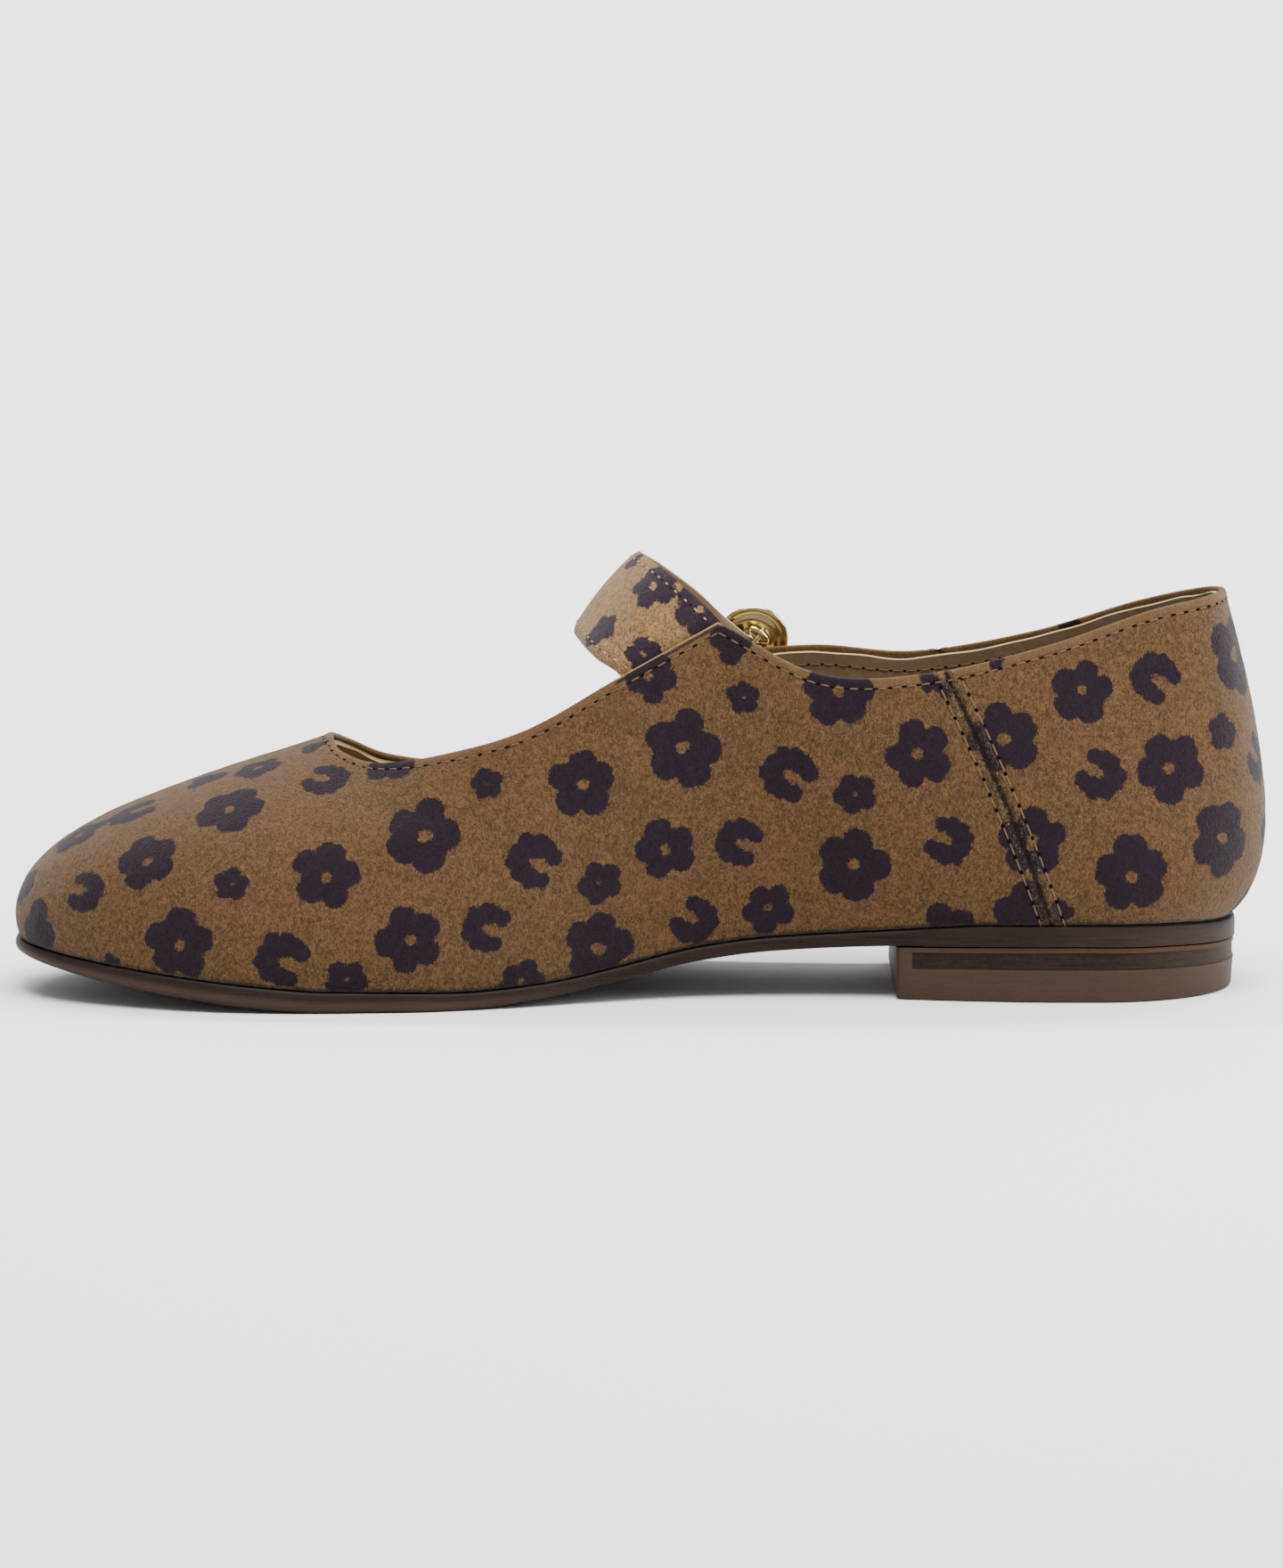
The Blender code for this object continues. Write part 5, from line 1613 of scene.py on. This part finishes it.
def make_insole(look):
    """The footbed: a leather sock, slightly dished, with a soft edge."""
    inset = UPPER_WALL + FEATHER_INSET + 1.5 * GAP
    rows = [(0.0, 0.0), (0.0, 0.6), (0.3, 0.88), (1.0, 1.0), (4.0, 1.02)]
    rings = []
    for away, level in rows:
        height = lambda share: sole_top(share) + GAP + level * INSOLE_THICKNESS
        rings.append(plan_ring(whole_turns(), inset + away * INSOLE_EDGE_ROUNDING, height))
    return lofted_piece("insole_sock", rings, [level for _, level in rows], insole_finish(look), 40.0)


def punch_strap(obj):
    """The strap's prong hole and the two holes in its tail."""
    start, end = prong_line()
    lean = (end - start).normalized()
    rods = [(start + lean * BAR_RADIUS, end + lean * STRAP_THICKNESS, HOLE_RADIUS)]
    for k in (1, 2):
        u = BUCKLE_LENGTH / 2 + (k - 0.5) * HOLE_SPACING
        low, high = seat.on_wall(u, 0.0, 0.5 * GAP), seat.on_wall(u, 0.0, 2 * STRAP_THICKNESS + GAP)
        rods.append((low, high, HOLE_RADIUS))
    punch(obj, rods)


def length(name, about, value):
    return FloatProperty(name=name, description=about, default=value, unit="LENGTH")


def power(name, about, value):
    return FloatProperty(name=name, description=about, default=value, unit="POWER")


def tint(name, about, *colour):
    return FloatVectorProperty(name=name, description=about, default=rgb(*colour), subtype="COLOR")


class FlatLook(bpy.types.PropertyGroup):
    """Sizes and colours of the shoe's finishes."""

    skin: length("Suede", "Thickness of the suede", 1.0 * MM)
    edge_roll: length("Rolled edge", "Swell of the folded topline", 0.22 * MM)
    stitch_sink: length("Stitch sink", "Depth of the stitch lines", 0.22 * MM)
    seam_depth: length("Seam depth", "Depth of the side seams", 0.60 * MM)
    seam_ridge: length("Seam ridge", "Swell beside the seams", 0.25 * MM)
    seam_stitch: length("Seam stitch", "Stitches from the seam", 2.25 * MM)
    foot_tuck: length("Tuck", "Tuck of the suede at the sole", 0.25 * MM)
    waviness: length("Waviness", "Soft unevenness of the suede", 0.15 * MM)
    fuzz: length("Fuzz", "Fine unevenness of the suede", 0.09 * MM)
    lining_wave: length("Lining wave", "Waviness of the cut lining", 0.5 * MM)
    strap_edge: length("Strap edge", "Rounding of the strap's edges", 1.0 * MM)
    strap_stitch: length("Strap stitch", "Stitches from the edge", 1.9 * MM)
    thread_radius: length("Thread", "Radius of the thread", 0.17 * MM)
    stitch_rise: length("Rise", "Rise of a stitch", 0.16 * MM)
    tan: tint("Tan", "Colour of the suede", 76, 58, 36)
    warm: tint("Warm tan", "Warmer suede", 77, 55, 35)
    ink: tint("Print", "Colour of the print", 28, 19, 26)
    # Painted light: the strap's tan, warm tan and print are lighter copies of the upper's, for the light its
    # upward face catches.
    strap_lit_tan: tint("Strap", "Lit strap", 118, 96, 67)
    strap_lit_warm: tint("Warm strap", "Warmer strap", 120, 92, 60)
    strap_lit_ink: tint("Strap print", "Print there", 42, 32, 40)
    shadow: tint("Shadow", "Colour in seams", 34, 26, 24)
    raw_edge: tint("Raw edge", "Cut suede", 150, 124, 84)
    lining: tint("Lining", "Colour of the lining", 112, 96, 74)
    strap_lining: tint("Strap lining", "Under the strap", 150, 130, 104)
    cut_edge: tint("Cut edge", "Cut lining", 186, 164, 122)
    insole: tint("Insole", "Colour of the insole", 190, 166, 128)
    sole: tint("Sole", "Dark of the sole edge", 28, 17, 12)
    # Colour of the painted highlight on the sole edge.
    sole_highlight: tint("Light sole", "Light of the sole edge", 58, 44, 37)
    heel: tint("Heel", "Colour of the heel", 59, 45, 35)
    rib: tint("Rib", "Colour of the heel's rib", 64, 44, 28)
    brass: tint("Buckle", "Colour of the buckle", 214, 198, 146)
    gold_thread: tint("Gold thread", "Light thread", 100, 74, 38)
    pale_thread: tint("Pale thread", "Thread of the strap", 172, 144, 100)
    tan_thread: tint("Tan thread", "Thread of the topline", 84, 60, 34)


class FlatStage(bpy.types.PropertyGroup):
    """Sizes and strengths of the stage."""

    floor: tint("Floor", "Colour of the floor", 244, 244, 244)
    key: power("Key", "Strength of the light overhead", 42.0)
    fill: power("Fill", "Strength of the light beside the heel", 22.0)
    sky: FloatProperty(name="Sky", description="Strength of the even light", default=0.40, min=0.0)
    backdrop: power("Backdrop", "Strength of the light on the backdrop", 110.0)


def dressed(obj, slot, *nodes):
    """Ties a finished piece to the shoe's body and hides the solids that it stands for; its slot is not
    used.
    """
    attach(obj, "root")
    if nodes:
        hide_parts(*nodes)
    return obj


class FLAT_OT_uppers(bpy.types.Operator):
    """Make the suede upper, the strap, their print and their stitches"""

    bl_idname = "flat.uppers"
    bl_label = "Upper and strap"

    def execute(self, context):
        look = context.scene.flat_look
        upper_piece, points, normals, outside = make_upper(look)
        strap_piece, top, lifts = make_strap(look)
        wall = upper_wall()
        trees = {
            "upper": grid_tree(outside, wall.columns, wall.rows, True),
            "strap": grid_tree(top, top.shape[0], top.shape[1], False),
        }
        spots = charted_spots(trees)
        rng = random.Random(SEED + 1)
        outer = outside[:, STITCH_ROW + 4::3].reshape(-1, 3)
        outer_normals = wall.normals[:, STITCH_ROW + 4::3].reshape(-1, 3)
        upper_spots = filled_spots(outer, outer_normals, spots["upper"], rng)
        strap_spots = filled_spots(top.reshape(-1, 3), lifts.reshape(-1, 3), spots["strap"], rng)
        keep_values(upper_piece, "print", print_distance(points, normals, upper_spots))
        punch_strap(strap_piece)
        kept = np.array([v.co for v in strap_piece.data.vertices])
        facing = np.array([v.normal for v in strap_piece.data.vertices])
        keep_values(strap_piece, "print", print_distance(kept, facing, strap_spots))
        for name in ("down", "seam", "foot"):
            keep_values(strap_piece, name, np.full(len(kept), 9.0))
        dressed(upper_piece, "upper", "upper")
        dressed(strap_piece, "strap", "strap")
        gold = thread_finish("gold_thread", look.gold_thread)
        dark = thread_finish("tan_thread", look.tan_thread)
        pale = thread_finish("pale_thread", look.pale_thread)
        topline = topline_runs(outside[:, STITCH_ROW], wall.normals[:, STITCH_ROW])
        dressed(stitched("topline_stitches", topline, look, dark, TOPLINE_STITCHES), "upper")
        sewn = seam_runs(trees["upper"], look)
        dressed(stitched("seam_stitches", sewn, look, gold, SEAM_STITCHES), "upper")
        sewn = strap_runs(top, lifts, look)
        dressed(stitched("strap_stitches", sewn, look, pale, STRAP_STITCHES), "strap")
        return {"FINISHED"}


class FLAT_OT_lining(bpy.types.Operator):
    """Make the lining and the insole"""

    bl_idname = "flat.lining"
    bl_label = "Lining and insole"

    def execute(self, context):
        look = context.scene.flat_look
        dressed(make_lining(look), "upper")
        wall = upper_wall()
        inside = (wall.points - wall.normals * UPPER_WALL)[:, LINING_STITCH_ROW]
        runs = topline_runs(inside, -wall.normals[:, LINING_STITCH_ROW])
        thread = thread_finish("tan_thread", look.tan_thread)
        dressed(stitched("lining_stitches", runs, look, thread, LINING_STITCHES), "upper")
        dressed(make_insole(look), "insole", "insole")
        return {"FINISHED"}


class FLAT_OT_sole(bpy.types.Operator):
    """Make the sole edge and the heel"""

    bl_idname = "flat.sole"
    bl_label = "Sole and heel"

    def execute(self, context):
        look = context.scene.flat_look
        dressed(make_outsole(look), "outsole", "outsole")
        dressed(make_heel(look), "heel", "heel")
        return {"FINISHED"}


class FLAT_OT_buckle(bpy.types.Operator):
    """Make the oval buckle"""

    bl_idname = "flat.buckle"
    bl_label = "Buckle"

    def execute(self, context):
        pieces = make_buckle(context.scene.flat_look)
        dressed(pieces[0], "buckle", "buckle")
        for piece in pieces[1:]:
            dressed(piece, "buckle")
        return {"FINISHED"}


def area_light(name, place, size, power, target):
    light = bpy.data.lights.new(name, "AREA")
    light.shape = "RECTANGLE"
    light.size, light.size_y = size
    light.energy = power
    holder = added(name, light)
    holder.location = place
    holder.rotation_euler = (target - Vector(place)).to_track_quat("-Z", "Y").to_euler()


def make_floor(stage):
    """A pale floor that curves up into a backdrop behind the shoe."""
    profile = [(-4.0, 0.0), (1.4, 0.0)]
    for a in (math.radians(9 * k) for k in range(1, 11)):
        profile.append((1.4 + 1.2 * math.sin(a), 1.2 - 1.2 * math.cos(a)))
    profile += [(2.6, 5.0)]
    points = [(x, y, z) for x in (-5.0, 5.0) for y, z in profile]
    count = len(profile)
    faces = [(i, count + i, count + i + 1, i + 1) for i in range(count - 1)]
    mesh = bpy.data.meshes.new("floor")
    mesh.from_pydata(points, [], faces)
    mesh.shade_smooth()

    def paint(net):
        return {"Base Color": net.range(net.grain(400), stage.floor, 0.985, 1.0)}

    mesh.materials.append(painted("pale_floor", paint, 0.9, 0.1))
    return added("floor", mesh)


class FLAT_OT_stage(bpy.types.Operator):
    """Set the floor, the lights and the camera of the photograph"""

    bl_idname = "flat.stage"
    bl_label = "Stage"

    def execute(self, context):
        stage = context.scene.flat_stage
        make_floor(stage)
        area_light("overhead", (0.15, -0.50, 1.40), (1.2, 0.8), stage.key, VIEW_TARGET)
        area_light("side", (1.5, -0.10, 0.75), (0.9, 0.9), stage.fill, VIEW_TARGET)
        area_light("behind", (0.0, 0.9, 1.9), (2.4, 0.8), stage.backdrop, Vector((0.0, 2.2, 0.3)))
        world = bpy.data.worlds.new("even_light")
        world.use_nodes = True
        back = world.node_tree.nodes["Background"]
        back.inputs["Color"].default_value = (1.0, 1.0, 1.0, 1.0)
        back.inputs["Strength"].default_value = stage.sky
        context.scene.world = world
        camera = bpy.data.cameras.new("view")
        camera.lens = LENS
        camera.sensor_width = SENSOR
        camera.clip_start = 0.05
        holder = added("view", camera)
        eye, ray = view_ray(PHOTO_WIDTH / 2, PHOTO_HEIGHT / 2)
        holder.location = eye
        holder.rotation_euler = ray.to_track_quat("-Z", "Y").to_euler()
        context.scene.camera = holder
        return {"FINISHED"}


class FLAT_PT_panel(bpy.types.Panel):
    """Sizes, colours and making of the shoe's finishes"""

    bl_label = "Ballet flat"
    bl_space_type = "VIEW_3D"
    bl_region_type = "UI"
    bl_category = "Flat"

    def draw(self, context):
        for operator in OPERATORS:
            self.layout.operator(operator.bl_idname)
        for group in (context.scene.flat_look, context.scene.flat_stage):
            for name in group.bl_rna.properties.keys():
                if name not in ("rna_type", "name"):
                    self.layout.prop(group, name)


OPERATORS = (FLAT_OT_uppers, FLAT_OT_lining, FLAT_OT_sole, FLAT_OT_buckle, FLAT_OT_stage)
CLASSES = (FlatLook, FlatStage, *OPERATORS, FLAT_PT_panel)


def register():
    for each in CLASSES:
        bpy.utils.register_class(each)
    bpy.types.Scene.flat_look = PointerProperty(type=FlatLook)
    bpy.types.Scene.flat_stage = PointerProperty(type=FlatStage)


def unregister():
    del bpy.types.Scene.flat_look
    del bpy.types.Scene.flat_stage
    for each in reversed(CLASSES):
        bpy.utils.unregister_class(each)


def main():
    register()
    bpy.ops.flat.uppers()
    bpy.ops.flat.lining()
    bpy.ops.flat.sole()
    bpy.ops.flat.buckle()
    bpy.ops.flat.stage()


if __name__ == "__main__":
    main()
